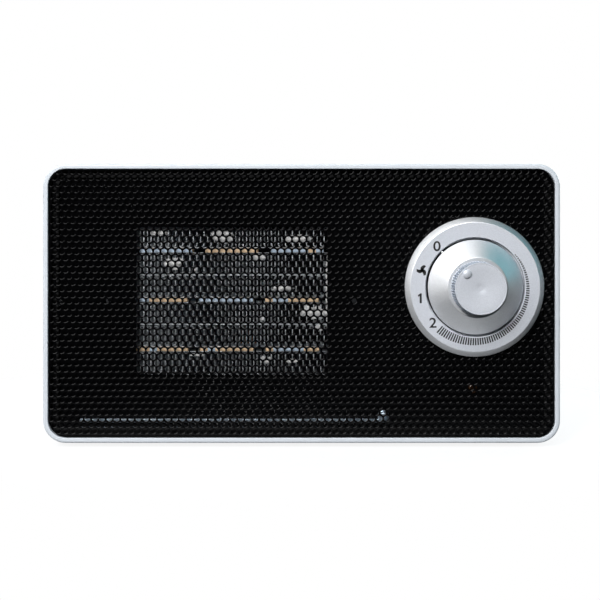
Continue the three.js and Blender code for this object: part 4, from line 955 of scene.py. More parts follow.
def fill_between(bm, outer, inner):
    """Triangles between two flat loops, one inside the other."""
    loops = [[(v.co.x, v.co.z, 0) for v in loop] for loop in (outer, inner)]
    verts = [*outer, *inner]
    for triangle in tessellate_polygon(loops):
        corners = [verts[i] for i in triangle]
        if len(set(corners)) == 3 and not bm.faces.get(corners):
            bm.faces.new(corners)


STRIP_HEIGHT = 1.9
STRIP_TOP = 2.3  # its upper edge, from the foot of the node


class HEATER_OT_retainer(bpy.types.Operator):
    """Builds the bright retainer strip at the foot of the baffle and its screw"""

    bl_idname = "heater.retainer"
    bl_label = "Retainer strip"

    def execute(self, context):
        low, high = corners_of("retainer_bar")
        screw = centre_of("retainer_screw")
        half, eye_radius = STRIP_HEIGHT / 2, high.x - screw.x
        middle = low.z + STRIP_TOP - half
        outline = [
            (low.x + half * 0.4, middle + half), (low.x, middle + half * 0.6),
            (low.x, middle - half * 0.6), (low.x + half * 0.4, middle - half),
            (screw.x + 0.5, middle - half),
        ]
        # The eye starts at the strip's foot and closes where it meets the strip's upper edge.
        start = math.radians(-68)
        end = math.pi + math.asin((screw.z - middle - half) / eye_radius)
        for step in range(33):
            angle = start + (end - start) * step / 32
            x = screw.x + eye_radius * math.cos(angle)
            outline.append((x, screw.z + eye_radius * math.sin(angle)))
        strip = plate([outline, circle(PILOT, screw.x, screw.z, 20)], low.y, high.y, 0.5)
        link(
            "retainer_strip", strip, finish("zinc_plated_steel"), ["retainer_bar"]
        )
        cross_head_screw("retainer_screw", outward=-1, pointed=False, size=0.78, turn=0.3)
        return {"FINISHED"}


# ---------------------------------------------------------------- heating element

STONE_LENGTH = 28
STONE_PITCH = 34.3
STONE_THICK = 2.5
ELECTRODE = 0.25
ELECTRODE_INSET = 0.3  # of the electrode strips behind the stones' front edges
PASTE = 0.12  # thickness of the metallising on a stone's edge
TERMINAL_WIDTH, TERMINAL_THICK = 6.3, 0.8
ROW_SHIFTS = (-0.6, -3.1, -2.9)  # each row's stones sit a little off centre
FOLD_STEPS = 5  # of the round fold between two legs of a fin strip
LEAN, BOW = 0.16, 0.12  # how far a leg leans and bows at most


class HEATER_OT_fins(bpy.types.Operator):
    """Builds the six folded foil fin strips and finishes the spacer plates between them"""

    bl_idname = "heater.fins"
    bl_label = "Fin strips"

    def execute(self, context):
        element = context.scene.heater.element
        foil = finish("rolled_aluminium")
        for row in (1, 2, 3):
            for side in ("upper", "lower"):
                node = f"fin_strip_{row}_{side}"
                strip = folded_strip(node, element, row + len(side))
                link(f"folded_fin_{row}_{side}", strip, foil, [node], sharp=50)
        refinish(foil, ["spacer_plate_upper", "spacer_plate_lower"], 0.1)
        return {"FINISHED"}


def folded_strip(node, element, seed):
    """Thin foil folded up and down, with slightly uneven legs."""
    low, high = corners_of(node)
    draw = random.Random(seed)
    legs, half_foil = element.legs, element.foil / MM / 2
    step = (high.x - low.x - 2 * half_foil) / (legs - 1)
    fold = step / 2
    top, bottom = high.z - half_foil, low.z + half_foil
    line = []
    for leg in range(legs):
        x = low.x + half_foil + leg * step
        lean = draw.uniform(-LEAN, LEAN)
        bow = draw.uniform(-BOW, BOW)
        start, end = (bottom + fold, top - fold) if leg % 2 == 0 else (top - fold, bottom + fold)
        for t in (0, 0.5, 1):
            sway = lean * (t - 0.5) + bow * math.sin(math.pi * t)
            if leg in (0, legs - 1):
                sway = 0
            line.append(Vector((x + sway, start + (end - start) * t)))
        if leg < legs - 1:
            centre = Vector((x + fold, end))
            outward = 1 if leg % 2 == 0 else -1
            for k in range(1, FOLD_STEPS):
                angle = math.pi * (1 - k / FOLD_STEPS)
                line.append(centre + fold * Vector((math.cos(angle), outward * math.sin(angle))))
    bm = bmesh.new()
    rims = []
    for i, point in enumerate(line):
        along = (line[min(i + 1, len(line) - 1)] - line[max(i - 1, 0)]).normalized()
        across = half_foil * Vector((-along.y, along.x))
        rim = []
        for spot in (point + across, point - across):
            x = min(max(spot.x, low.x), high.x)
            rim += [bm.verts.new((x, y, spot.y)) for y in (low.y, high.y)]
        rims.append([rim[k] for k in (0, 1, 3, 2)])
    for first, second in zip(rims, rims[1:]):
        bridge(bm, first, second)
    for end in (rims[0], rims[-1]):
        bm.faces.new(end)
    return bm


# How far the fired metallising holds along the front of each stone, from left to right: m where
# it covers the edge, and a dot where the ceramic is bare.
METALLISED = (
    ("mmmmmmm", ".......", "mmmmm.m"),
    ("mm.....", "mmmmmmm", ".mm...."),
    ("..m....", ".m.....", ".mmmm.."),
)


class HEATER_OT_stones(bpy.types.Operator):
    """Builds the ceramic stones, and the electrode strips and terminals bonded to them"""

    bl_idname = "heater.stones"
    bl_label = "Ceramic stones"

    def execute(self, context):
        element = context.scene.heater.element
        ceramic = finish("sintered_titanate", element.tan)
        paste = finish("fired_metallising", element.blue)
        fin_low, fin_high = corners_of("fin_strip_1_upper")
        left, right = fin_low.x, fin_high.x
        half = STONE_THICK / 2
        for row, shift, covers in zip((1, 2, 3), ROW_SHIFTS, METALLISED):
            node = f"ptc_row_{row}"
            low, high = corners_of(node)
            z = low.z + ELECTRODE + half
            front = low.y + ELECTRODE_INSET
            stones, patches = [], []
            for i, cover in enumerate(covers):
                start = (left + right) / 2 + (i - 1) * STONE_PITCH + shift - STONE_LENGTH / 2
                near, far = (start, low.y, z - half), (start + STONE_LENGTH, high.y, z + half)
                stones.append(box(near, far, 0.25))
                step = STONE_LENGTH / len(cover)
                for run in re.finditer("m+", cover):
                    near = (start + run.start() * step, low.y - PASTE, z - half + 0.1)
                    far = (start + run.end() * step, low.y + 1, z + half - 0.1)
                    patches.append(box(near, far, PASTE * 0.9))
            link(f"ceramic_stones_{row}", merged(*stones), ceramic, [node])
            link(f"metallised_edges_{row}", merged(*patches), paste)
            rear = high.y - 1
            terminal = (right - 1, rear - TERMINAL_WIDTH, high.z - TERMINAL_THICK)
            strips = [
                box((left, front, z - half - ELECTRODE), (right, high.y, z - half), 0.1),
                box((left, front, z + half), (right, high.y, z + half + ELECTRODE), 0.1),
                box(terminal, (high.x, rear, high.z), 0.1),
            ]
            foil = finish("rolled_aluminium")
            link(f"electrode_strips_{row}", merged(*strips), foil)
        return {"FINISHED"}


# Where the sealant was smeared by hand, as (across, up, half width, half height) from the
# middle of the element's face.
SEALANT = (
    (-37.7, 34.8, 5.0, 1.5), (-5.1, 33.3, 4.8, 3.4), (34.6, 31.7, 7.2, 2.2),
    (14.0, 22.3, 3.0, 1.3), (-30.4, 18.9, 4.4, 2.8), (-19.5, 15.5, 1.3, 1.2),
    (26.3, 5.8, 4.8, 1.5), (42.2, -6.7, 6.2, 3.4), (15.5, -10.1, 1.3, 1.2),
    (45.3, -14.8, 1.8, 1.6), (17.9, -31.5, 3.0, 1.9), (31.5, -32.0, 2.7, 1.1),
    (-18.2, -28.9, 3.5, 1.0), (49.4, 4.8, 0.7, 16.0),
)
SMEAR_HALF_DEPTH = 0.9


class HEATER_OT_sealant(bpy.types.Operator):
    """Builds the lumps of silicone sealant smeared over the element's face"""

    bl_idname = "heater.sealant"
    bl_label = "Silicone sealant"

    def execute(self, context):
        low, high = corners_of("fin_strip_2_upper")
        middle = Vector(((low.x + high.x) / 2, low.y, centre_of("ptc_row_2").z))
        lumps = []
        for i, (across, up, half_width, half_height) in enumerate(SEALANT):
            lump = bmesh.new()
            bmesh.ops.create_icosphere(lump, subdivisions=4, radius=1)
            stretch = Vector((half_width, SMEAR_HALF_DEPTH, half_height))
            # A broad ripple and a fine one leave each lump uneven.
            for vert in lump.verts:
                ripple = 1 + 0.55 * noise.noise(vert.co * 1.7 + Vector((i * 7.0, 0, 0)))
                ripple += 0.22 * noise.noise(vert.co * 4.5 + Vector((0, i * 5.0, 0)))
                vert.co = ripple * vert.co * stretch + middle + Vector((across, 0.5, up))
            lumps.append(lump)
        link(
            "silicone_sealant", merged(*lumps), finish("cured_silicone"), sharp=180
        )
        return {"FINISHED"}


# ---------------------------------------------------------------- dial

REST_ANGLE = math.radians(133.5)  # where both pointers stand at 0
STOP_ANGLE = math.radians(29)  # between the selector's stops
SCALE_RADIUS = 28.4  # of the ring of figures
FONT_SCALE = 1.42  # size of the font for figures of a given height
FIGURE_STRETCH = 1.12  # of the figures' width
SCALE_START, SCALE_END = math.radians(39), math.radians(-130)  # of the ramp of ticks
TICK_SHARE = 0.29  # half a tick's width, as a share of their spacing
TICK_INNER = 25.95  # radius where the ticks start
TICK_LENGTH, TICK_GROWTH = 0.5, 3.9  # the first tick, and how much longer the last is
INK = 0.04  # thickness of the printed ink
CHAMFER = 33  # radius where the bezel's polished chamfer starts
DOT_REACH = 10.1  # from the knob's axis to its dot
DOT = (2.5, 1.5, 2.5)  # half its size along each axis
RIB_HEIGHT = 0.44


def on_dial(radius, angle):
    """The X and Z of a point at a radius and an angle about the dial's axis."""
    return DIAL.x + radius * math.cos(angle), DIAL.z + radius * math.sin(angle)


def refinish_outside(made, radius, material, sides_only=False):
    """Gives a second finish to the faces past a radius, or only to those that face sideways."""
    made.data.materials.append(material)
    for face in made.data.polygons:
        reach = math.dist((face.center.x, face.center.z), (DIAL.x * MM, DIAL.z * MM))
        if reach > radius * MM and (abs(face.normal.y) < 0.7 or not sides_only):
            face.material_index = 1


class HEATER_OT_bezel(bpy.types.Operator):
    """Builds the silver bezel round the dial and the scale printed on its face"""

    bl_idname = "heater.bezel"
    bl_label = "Dial bezel and scale"

    def execute(self, context):
        dial = context.scene.heater.dial
        low, high = corners_of("dial_bezel")
        back = GRILLE_LOW.y - 0.3
        radius = (high.x - low.x) / 2
        section = eased([
            (25.4, low.y, 0.3), (33.1, low.y, 0.8), (radius, GRILLE_LOW.y - 1, 0.5),
            (radius, back, 0.15), (27.4, back, 0), (27.4, high.y, 0.3), (24.6, high.y, 0.2),
            (24.6, low.y + 3.2, 0.2), (25.4, low.y + 3.2, 0.1),
        ])
        ring = link(
            "bezel_ring", turning(section, DIAL, sides=160),
            finish("metallic_paint", dial.silver), ["dial_bezel"],
        )
        refinish_outside(ring, CHAMFER, finish("burnished_paint", dial.polished))
        ink = finish("pad_print_ink", dial.ink)
        link("printed_scale", printed_scale(dial, low.y), ink)
        return {"FINISHED"}


def printed_scale(dial, face):
    """The figures, the fan sign and the growing ramp of ticks on the bezel's face."""
    shapes = []
    # A font draws the round figures.
    for stop, figure in ((0, "0"), (3, "2")):
        text = bpy.data.curves.new("figure", "FONT")
        text.body = figure
        text.align_x = "CENTER"
        text.align_y = "CENTER"
        text.size = dial.figure / MM * FONT_SCALE
        text.extrude = INK / 2
        text.offset = 0.1
        x, z = on_dial(SCALE_RADIUS, REST_ANGLE + stop * STOP_ANGLE)
        wider = Matrix.Scale(FIGURE_STRETCH, 4, (1, 0, 0))
        shapes.append(from_curve(text, Matrix.Translation((x, face - INK / 2, z)) @ wider))
    # The 1 and the fan sign are plain outlines.
    x, z = on_dial(SCALE_RADIUS, REST_ANGLE + 2 * STOP_ANGLE)
    half = dial.figure / MM / 2
    one = [
        (0.55, half), (-0.15, half), (-1.4, half - 0.9), (-1.4, half - 1.8), (-0.5, half - 1.2),
        (-0.5, -half), (0.55, -half),
    ]
    outlines = [[(x + across, z + rise) for across, rise in one]]
    x, z = on_dial(SCALE_RADIUS, REST_ANGLE + STOP_ANGLE)
    for blade in range(3):
        leading, trailing = [], []
        for step in range(9):
            t = step / 8
            reach, swing = 0.4 + 2.5 * t, blade * math.tau / 3 + 1.0 + 0.85 * (1 - t)
            broad = (0.62 + 0.4 * math.sin(math.pi * t)) / reach
            for edge, angle in ((leading, swing - broad), (trailing, swing + broad)):
                edge.append((x + reach * math.cos(angle), z + reach * math.sin(angle)))
        outlines.append([*leading, *reversed(trailing)])
    outlines.append(circle(1.0, x, z, 24))
    shapes += [plate([outline], face - INK, face) for outline in outlines]
    half_tick = (SCALE_START - SCALE_END) / dial.ticks * TICK_SHARE
    for i in range(dial.ticks):
        share = i / (dial.ticks - 1)
        angle = SCALE_START + (SCALE_END - SCALE_START) * share
        near, far = angle - half_tick, angle + half_tick
        outer = TICK_INNER + TICK_LENGTH + TICK_GROWTH * share**0.85
        spots = (TICK_INNER, near), (outer, near), (outer, far), (TICK_INNER, far)
        corners = [on_dial(radius, turn) for radius, turn in spots]
        tick = bmesh.new()
        rims = [[tick.verts.new((x, y, z)) for x, z in corners] for y in (face - INK, face)]
        bridge(tick, *rims)
        for rim in rims:
            tick.faces.new(rim)
        shapes.append(tick)
    return merged(*shapes)


class HEATER_OT_selector(bpy.types.Operator):
    """Builds the silver cone-shaped selector ring, with its pointer"""

    bl_idname = "heater.selector"
    bl_label = "Selector ring"

    def execute(self, context):
        dial = context.scene.heater.dial
        low, high = corners_of("selector_ring")
        skirt, inside = high.y - 1.4, low.y + 1.8
        section = eased([
            (5.5, low.y, 0.2), (15.2, low.y, 0.6), (24.2, skirt, 0.7), (24.2, high.y, 0.3),
            (22.4, high.y, 0.3), (22.4, skirt, 0.3), (13.4, inside, 0.3), (7.5, inside, 0.3),
            (7.5, high.y, 0.3), (5.5, high.y, 0.3),
        ], 8)
        pointer = box((22.8, skirt + 0.1, -0.6), (25.0, high.y - 0.1, 0.6), 0.2)
        pointer.transform(
            Matrix.Translation((DIAL.x, 0, DIAL.z)) @ Matrix.Rotation(-REST_ANGLE, 4, "Y")
        )
        link(
            "selector_cone", merged(turning(section, DIAL, sides=192), pointer),
            finish("burnished_paint", dial.polished), ["selector_ring"],
            body="selector",
        )
        return {"FINISHED"}


class HEATER_OT_knob(bpy.types.Operator):
    """Builds the ribbed thermostat knob, with its dished face and raised dot"""

    bl_idname = "heater.knob"
    bl_label = "Thermostat knob"

    def execute(self, context):
        dial = context.scene.heater.dial
        low, high = corners_of("thermostat_knob")
        face = low.y + 1  # the dot stands 1 mm proud
        dish, base, rim = 0.9, 13.6, 12.9

        def rib(angle, radius, place):
            on_side = radius > rim - 0.05 and face + 0.15 < place < high.y - 0.1
            return RIB_HEIGHT / 2 * (math.cos(angle * dial.ribs) - 1) if on_side else 0

        dimple = [(r, face + dish + 0.02 * (1 - (r / 1.5) ** 2)) for r in (0, 0.5, 1, 1.3)]
        dished = [(r, face + dish * (1 - r / 12.2)) for r in (1.8, 4, 6.5, 9, 11.2)]
        outer = eased([
            (12.2, face, 0.15), (rim, face, 0.15), (base, high.y, 0.2), (11.0, high.y, 0.2)
        ])
        ribbed = [outer[11].lerp(outer[12], t) for t in (0.1, 0.5, 0.9)]
        # The underside is hollow round the stem that grips the spindle.
        socket = face + 5.5
        inside = [
            (10.9, socket), (5.3, socket), (5.3, high.y), (3.3, high.y), (3.3, socket),
            (0, socket),
        ]
        profile = [*dimple, *dished, *outer[:12], *ribbed, *outer[12:], *inside]
        knob = turning(profile, DIAL, sides=dial.ribs * 8, wave=rib)
        dot = bmesh.new()
        bmesh.ops.create_uvsphere(dot, u_segments=48, v_segments=24, radius=1)
        bmesh.ops.scale(dot, verts=dot.verts, vec=DOT)
        x, z = on_dial(DOT_REACH, REST_ANGLE)
        bmesh.ops.translate(dot, verts=dot.verts, vec=(x, low.y + DOT[1], z))
        made = link(
            "ribbed_knob", merged(knob, dot), finish("metallic_paint", dial.silver),
            ["thermostat_knob"], body="thermostat_control", sharp=40,
        )
        # The ribbed side gets a darker, bluer copy of the silver: painted shade, not a separate
        # grey moulding.
        refinish_outside(made, rim - 1, finish("moulded_grip"), sides_only=True)
        return {"FINISHED"}


# ---------------------------------------------------------------- small parts


class HEATER_OT_lamp(bpy.types.Operator):
    """Builds the domed lens of the indicator lamp behind the grille"""

    bl_idname = "heater.lamp"
    bl_label = "Indicator lamp"

    def execute(self, context):
        low, high = corners_of("indicator_lamp")
        front, back = low.y + 4.2, low.y + 5.8  # of the collar
        profile = eased([
            (0, low.y, 0), (2.5, low.y, 1.6), (2.5, front, 0), (4.0, front, 0.3),
            (4.0, back, 0.3), (2.5, back, 0), (2.5, high.y, 0.4), (0, high.y, 0),
        ], 8)
        lens = turning(profile, centre_of("indicator_lamp"), sides=48)
        amber = finish("amber_polycarbonate")
        link("lamp_lens", lens, amber, ["indicator_lamp"])
        return {"FINISHED"}


class HEATER_OT_feet(bpy.types.Operator):
    """Builds the four round rubber feet, with grooves in their undersides"""

    bl_idname = "heater.feet"
    bl_label = "Rubber feet"

    def execute(self, context):
        for node in FEET:
            low, high = corners_of(node)
            radius = (high.x - low.x) / 2
            groove = low.z + 0.5
            outline = [(0, groove, 0)]
            for end in (1.6, 3.2, 4.8):
                outline += [
                    (end - 0.9, groove, 0.1), (end - 0.7, low.z, 0.1), (end, low.z, 0.1),
                    (end + 0.2, groove, 0.1),
                ]
            outline += [
                (radius - 1.1, groove, 0.1), (radius - 0.9, low.z, 0.1),
                (radius - 0.2, low.z, 0.3), (radius, high.z, 0.3), (0, high.z, 0),
            ]
            foot = turning(eased(outline, 3), centre_of(node), upright=True, sides=64)
            link(f"rubber_{node}", foot, finish("moulded_rubber"), [node])
        return {"FINISHED"}


class HEATER_OT_cord_inlet(bpy.types.Operator):
    """Builds the rubber bushing that lines the cord inlet at the rear"""

    bl_idname = "heater.cord_inlet"
    bl_label = "Cord inlet"

    def execute(self, context):
        low, high = corners_of("cord_bushing")
        radius = (high.x - low.x) / 2
        front, back = COVER_LOW.y - 0.3, COVER_HIGH.y + 0.3  # of the groove for the cover
        profile = eased([
            (4, low.y, 0.5), (radius, low.y, 0.5), (radius, front, 0.3), (6.2, front, 0.1),
            (6.2, back, 0.1), (radius, back, 0.3), (7.4, high.y, 0.9), (4, high.y, 0.9),
        ])
        ring = turning(profile, centre_of("cord_bushing"), sides=72)
        rubber = finish("moulded_rubber")
        link("cord_bushing_ring", ring, rubber, ["cord_bushing"])
        return {"FINISHED"}


BLADES = 7
HUB_RADIUS = 13
SPANS, CHORDS = 10, 12  # steps along a blade and across it
ROOT_PITCH, TIP_PITCH = 46, 30  # degrees
ROOT_CHORD, TIP_CHORD = 15, 22
CAMBER, HALF_THICK = 1.8, 0.75
SQUASH = 0.8  # of a blade along the axis, which keeps it within the hub's length


class HEATER_OT_fan(bpy.types.Operator):
    """Builds the axial impeller, with twisted blades on a domed hub"""

    bl_idname = "heater.fan"
    bl_label = "Fan impeller"

    def execute(self, context):
        low, high = corners_of("fan_impeller")
        inner, inside = HUB_RADIUS - 2, low.y + 4
        hub = turning(eased([
            (2.3, low.y, 0.3), (HUB_RADIUS, low.y, 2.2), (HUB_RADIUS, high.y, 0.4),
            (inner, high.y, 0.3), (inner, inside, 0.5), (5, inside, 0.4), (5, high.y, 0.3),
            (2.3, high.y, 0.3),
        ]), (low + high) / 2)
        blades = [impeller_blade(low, high, i * math.tau / BLADES) for i in range(BLADES)]
        link(
            "axial_impeller", merged(hub, *blades), finish("glass_filled_pbt"),
            ["fan_impeller"], body="fan", sharp=60,
        )
        return {"FINISHED"}


def impeller_blade(low, high, turn):
    """One blade: cambered, and flatter towards its tip."""
    bm = bmesh.new()
    centre, root = (low + high) / 2, HUB_RADIUS - 1.2
    tip = (high.z - low.z) / 2
    grid = []
    for side in (-1, 1):
        sheet = []
        for i in range(SPANS + 1):
            share = i / SPANS
            radius = root + share * (tip - root)
            pitch = math.radians(ROOT_PITCH + (TIP_PITCH - ROOT_PITCH) * share)
            half_chord = (ROOT_CHORD + (TIP_CHORD - ROOT_CHORD) * share) / 2
            line = []
            for j in range(CHORDS + 1):
                t = 2 * j / CHORDS - 1
                thick = HALF_THICK * math.sqrt(max(1 - t * t, 0.02)) * (1 - 0.3 * share)
                along, lift = t * half_chord, CAMBER * (1 - t * t) + side * thick
                y = centre.y + along * math.sin(pitch) * SQUASH + lift * math.cos(pitch)
                y = min(max(y, low.y + 0.05), high.y - 0.05)
                angle = turn + (along * math.cos(pitch) - lift * math.sin(pitch)) / radius
                x = centre.x + radius * math.cos(angle)
                line.append(bm.verts.new((x, y, centre.z + radius * math.sin(angle))))
            sheet.append(line)
        for i in range(SPANS):
            for j in range(CHORDS):
                near, far = sheet[i], sheet[i + 1]
                bm.faces.new((near[j], far[j], far[j + 1], near[j + 1]))
        grid.append([
            *sheet[0], *(line[-1] for line in sheet[1:-1]), *reversed(sheet[-1]),
            *(line[0] for line in reversed(sheet[1:-1])),
        ])
    bridge(bm, *grid)
    return bm


class HEATER_OT_inner_parts(bpy.types.Operator):
    """Finishes the parts inside: the duct, motor, switches, wiring and fixings"""

    bl_idname = "heater.inner_parts"
    bl_label = "Inner parts"

    def execute(self, context):
        plastic = ["air_duct", "element_cap_left", "element_cap_right", "tip_switch_plunger"]
        refinish(finish("glass_filled_pbt"), plastic, 0.3)
        refinish(finish("glossy_pbt"), ["front_baffle"], 0.3)
        fixings = [f"{kind}_{i}" for kind in ("bracket_screw", "motor_bolt") for i in (1, 2)]
        metal = ["motor_bracket", "rear_bearing_strip", "motor_rotor", "thermostat_spindle"]
        refinish(finish("zinc_plated_steel"), [*fixings, *metal])
        refinish(finish("zinc_plated_steel"), ["tip_switch_spring"], 0)
        dark = [f"{kind}_{i}" for kind in ("baffle_screw", "duct_screw") for i in (1, 2)]
        refinish(finish("phosphated_steel"), dark)
        refinish(finish("stacked_laminations"), ["motor_core"])
        refinish(finish("wound_tape"), ["motor_coil", "thermostat"], 1.2)
        pale = [
            "rotary_switch", "switch_sleeve", "terminal_block", "thermal_cutout",
            "tip_switch_case",
        ]
        refinish(finish("natural_nylon"), pale, 0.3)
        for lead, name, colour in (
            ("lead_live", "black", "#151515"), ("lead_neutral", "blue", "#2A4F8F"),
            ("lead_heat", "red", "#9C2620"),
        ):
            refinish(finish("pvc_insulation", linear(colour), f"{name}_pvc_insulation"), [lead], 0)
        return {"FINISHED"}


# ---------------------------------------------------------------- stage

# Each soft light, by its setting: its place, its width and height in metres, and its colour.
LIGHTS = {
    "key": ((-0.56, -1.02, 1.11), (2.2, 0.65), "#FFFFFF"),
    "fill": ((-0.46, -1.41, 0.79), (0.24, 0.24), "#FFFFFF"),
    "left": ((-1.05, -0.12, 0.95), (2.6, 0.42), "#FFFFFF"),
    "side": ((0.92, 0.25, 0.82), (1.3, 1.4), "#0C9EAB"),
    "right": ((0.95, 0.8, 0.15), (0.9, 0.7), "#FFFFFF"),
    "rear": ((0.3, 1.3, 0.25), (2.4, 0.9), "#FFFFFF"),
}


class HEATER_OT_stage(bpy.types.Operator):
    """Sets the pale floor, the white surround, the soft lights and the camera"""

    bl_idname = "heater.stage"
    bl_label = "Stage, lights and camera"

    def execute(self, context):
        settings = context.scene.heater.stage
        set_floor()
        set_surround(settings.surround)
        for name, look in LIGHTS.items():
            set_light(f"{name}_light", getattr(settings, name), *look)
        set_camera(settings)
        context.scene.view_settings.view_transform = "Standard"
        return {"FINISHED"}


def white_to_lens(tree):
    """1 for what the camera sees itself, in a mirror or through glass, and 0 for lighting."""
    path = add(tree, "ShaderNodeLightPath", {})
    mirrored = add(
        tree, "ShaderNodeMath",
        {0: path.outputs["Is Glossy Ray"], 1: path.outputs["Is Transmission Ray"]},
        operation="MAXIMUM",
    )
    return path.outputs["Is Camera Ray"], mirrored.outputs[0]


FLOOR_RADIUS = 1.8
SEEN_LEVEL = 0.87  # the floor's brightness to the lens
MIRRORED_LEVEL = 0.65  # and as the object mirrors it, from MIRROR_END on to the rear
MIRROR_START, MIRROR_END = -0.085, -0.045
FADE_START, FADE_END = 0.165, 0.3  # distances from FADE_CENTRE where the floor fades out
FADE_CENTRE = (0, 0.1, 0)


def set_floor():
    """A pale disc that fades out into the white surround and keeps the object's shadow."""
    bm = bmesh.new()
    bmesh.ops.create_circle(bm, cap_ends=True, segments=96, radius=FLOOR_RADIUS)
    mesh = bpy.data.meshes.new("floor")
    bm.to_mesh(mesh)
    bm.free()
    placed("floor", mesh)
    material, tree, shader, place = shader_of(
        "painted_board", linear("#636568"), {"Roughness": 0.9, "Emission Color": (1, 1, 1, 1)}
    )
    seen, mirrored = white_to_lens(tree)
    direct = add(tree, "ShaderNodeMath", {0: seen, 1: SEEN_LEVEL}, operation="MULTIPLY")
    along = add(tree, "ShaderNodeSeparateXYZ", {"Vector": place}).outputs["Y"]
    near = add(
        tree, "ShaderNodeMapRange",
        {
            "Value": along, "From Min": MIRROR_START, "From Max": MIRROR_END,
            "To Max": MIRRORED_LEVEL,
        },
        interpolation_type="SMOOTHSTEP",
    )
    glow = add(
        tree, "ShaderNodeMath",
        {0: mirrored, 1: near.outputs["Result"], 2: direct.outputs[0]},
        operation="MULTIPLY_ADD",
    )
    tree.links.new(glow.outputs[0], shader.inputs["Emission Strength"])
    reach = add(tree, "ShaderNodeVectorMath", {0: place, 1: FADE_CENTRE}, operation="DISTANCE")
    fade = add(
        tree, "ShaderNodeMapRange",
        {"Value": reach.outputs["Value"], "From Min": FADE_START, "From Max": FADE_END},
        interpolation_type="SMOOTHSTEP",
    )
    # Seen from below, the floor is clear, so that the feet show.
    below = add(tree, "ShaderNodeNewGeometry", {}).outputs["Backfacing"]
    gone = add(
        tree, "ShaderNodeMath", {0: fade.outputs["Result"], 1: below}, operation="MAXIMUM"
    )
    clear = add(tree, "ShaderNodeBsdfTransparent", {})
    mix = add(
        tree, "ShaderNodeMixShader",
        {0: gone.outputs[0], 1: shader.outputs["BSDF"], 2: clear.outputs["BSDF"]},
    )
    tree.links.new(mix.outputs[0], tree.nodes["Material Output"].inputs["Surface"])
    mesh.materials.append(material)


# Three ramps of the surround, each along an axis of the direction, from one share to another.
RAMPS = ("Y", 0.05, 0.5), ("X", 0.4, 0.0), ("Y", -0.35, -0.1)


def set_surround(strength):
    """White to the lens; for lighting, a soft dome behind the object and a dark room in front."""
    world = bpy.data.worlds.new("studio")
    world.use_nodes = True
    tree = world.node_tree
    seen, mirrored = white_to_lens(tree)
    place = add(tree, "ShaderNodeTexCoord", {}).outputs["Generated"]
    axes = add(tree, "ShaderNodeSeparateXYZ", {"Vector": place})
    behind, left, beside = (
        add(
            tree, "ShaderNodeMapRange",
            {"Value": axes.outputs[axis], "From Min": start, "From Max": end},
            interpolation_type="SMOOTHSTEP",
        ).outputs["Result"]
        for axis, start, end in RAMPS
    )
    flank = add(tree, "ShaderNodeMath", {0: left, 1: beside}, operation="MULTIPLY")
    sides = add(tree, "ShaderNodeMath", {0: behind, 1: flank.outputs[0]}, operation="MAXIMUM")
    backdrop = add(
        tree, "ShaderNodeMath", {0: mirrored, 1: sides.outputs[0]}, operation="MULTIPLY"
    )
    white = add(tree, "ShaderNodeMath", {0: seen, 1: backdrop.outputs[0]}, operation="MAXIMUM")
    level = add(
        tree, "ShaderNodeMapRange", {"Value": behind, "To Min": 0.02, "To Max": strength}
    )
    dim = tree.nodes["Background"]
    dim.inputs["Color"].default_value = (*linear("#EEF3FA"), 1)
    tree.links.new(level.outputs["Result"], dim.inputs["Strength"])
    bright = add(tree, "ShaderNodeBackground", {"Color": (1, 1, 1, 1), "Strength": 1})
    mix = add(
        tree, "ShaderNodeMixShader",
        {0: white.outputs[0], 1: dim.outputs[0], 2: bright.outputs[0]},
    )
    tree.links.new(mix.outputs[0], tree.nodes["World Output"].inputs["Surface"])
    bpy.context.scene.world = world


def set_light(name, power, place, size, hex_colour):
    """A soft box turned to the casing, with its width running round the camera's axis."""
    light = bpy.data.lights.new(name, "AREA")
    light.shape = "RECTANGLE"
    light.size, light.size_y = size
    light.energy = power
    light.color = linear(hex_colour)
    holder = placed(name, light)
    holder.location = place
    back = (holder.location - BODY_CENTRE * MM).normalized()
    width = Vector((0, 1, 0)).cross(back).normalized()
    holder.rotation_euler = Matrix((width, back.cross(width), back)).transposed().to_euler()


SENSOR = 36  # millimetres, across the picture
ASIDE = -0.0008  # where the lens stands along X
AIM = 0.0018  # height of the picture's middle above the casing's middle


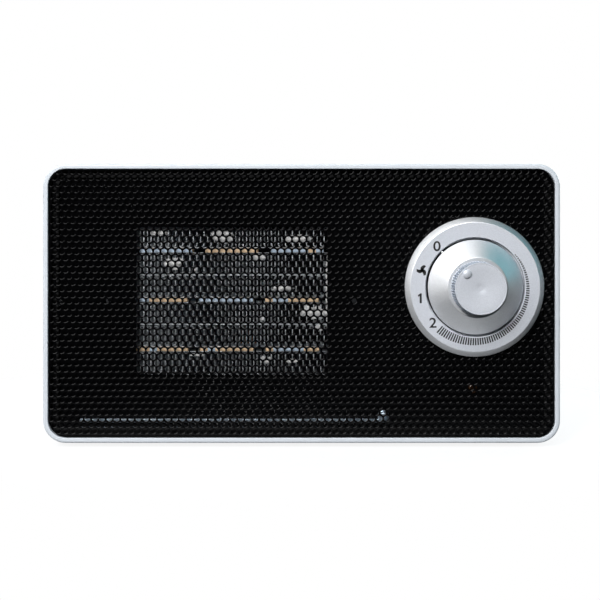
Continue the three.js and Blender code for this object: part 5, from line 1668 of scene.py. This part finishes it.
def set_camera(settings):
    """A level camera a little above the casing's middle, shifted down to centre it."""
    camera = bpy.data.cameras.new("camera")
    camera.sensor_width = SENSOR
    camera.lens = SENSOR * settings.distance / settings.field
    camera.shift_y = (AIM - settings.rise) / settings.field
    holder = placed("camera", camera)
    height = BODY_CENTRE.z * MM + settings.rise
    holder.location = (ASIDE, FRONT * MM - settings.distance, height)
    holder.rotation_euler = (math.pi / 2, 0, 0)
    bpy.context.scene.camera = holder


# ---------------------------------------------------------------- add-on

PIECES = (
    HEATER_OT_stage,
    HEATER_OT_front_frame,
    HEATER_OT_main_housing,
    HEATER_OT_rear_cover,
    HEATER_OT_grille,
    HEATER_OT_retainer,
    HEATER_OT_fins,
    HEATER_OT_stones,
    HEATER_OT_sealant,
    HEATER_OT_bezel,
    HEATER_OT_selector,
    HEATER_OT_knob,
    HEATER_OT_lamp,
    HEATER_OT_feet,
    HEATER_OT_cord_inlet,
    HEATER_OT_fan,
    HEATER_OT_inner_parts,
)


class HEATER_PT_sidebar(bpy.types.Panel):
    """Lists the heater's pieces and settings"""

    bl_idname = "HEATER_PT_sidebar"
    bl_label = "Fan heater"
    bl_space_type = "VIEW_3D"
    bl_region_type = "UI"
    bl_category = "Heater"

    def draw(self, context):
        for piece in PIECES:
            self.layout.operator(piece.bl_idname)
        heater = context.scene.heater
        for group in (heater.casing, heater.grille, heater.element, heater.dial, heater.stage):
            column = self.layout.box().column()
            for name in group.__annotations__:
                column.prop(group, name)


CLASSES = (
    CasingSettings,
    GrilleSettings,
    ElementSettings,
    DialSettings,
    StageSettings,
    HeaterSettings,
    *PIECES,
    HEATER_PT_sidebar,
)


def register():
    for item in CLASSES:
        bpy.utils.register_class(item)
    bpy.types.Scene.heater = PointerProperty(type=HeaterSettings)


def unregister():
    del bpy.types.Scene.heater
    for item in reversed(CLASSES):
        bpy.utils.unregister_class(item)


def main():
    register()
    for piece in PIECES:
        group, name = piece.bl_idname.split(".")
        getattr(getattr(bpy.ops, group), name)()


if __name__ == "__main__":
    main()
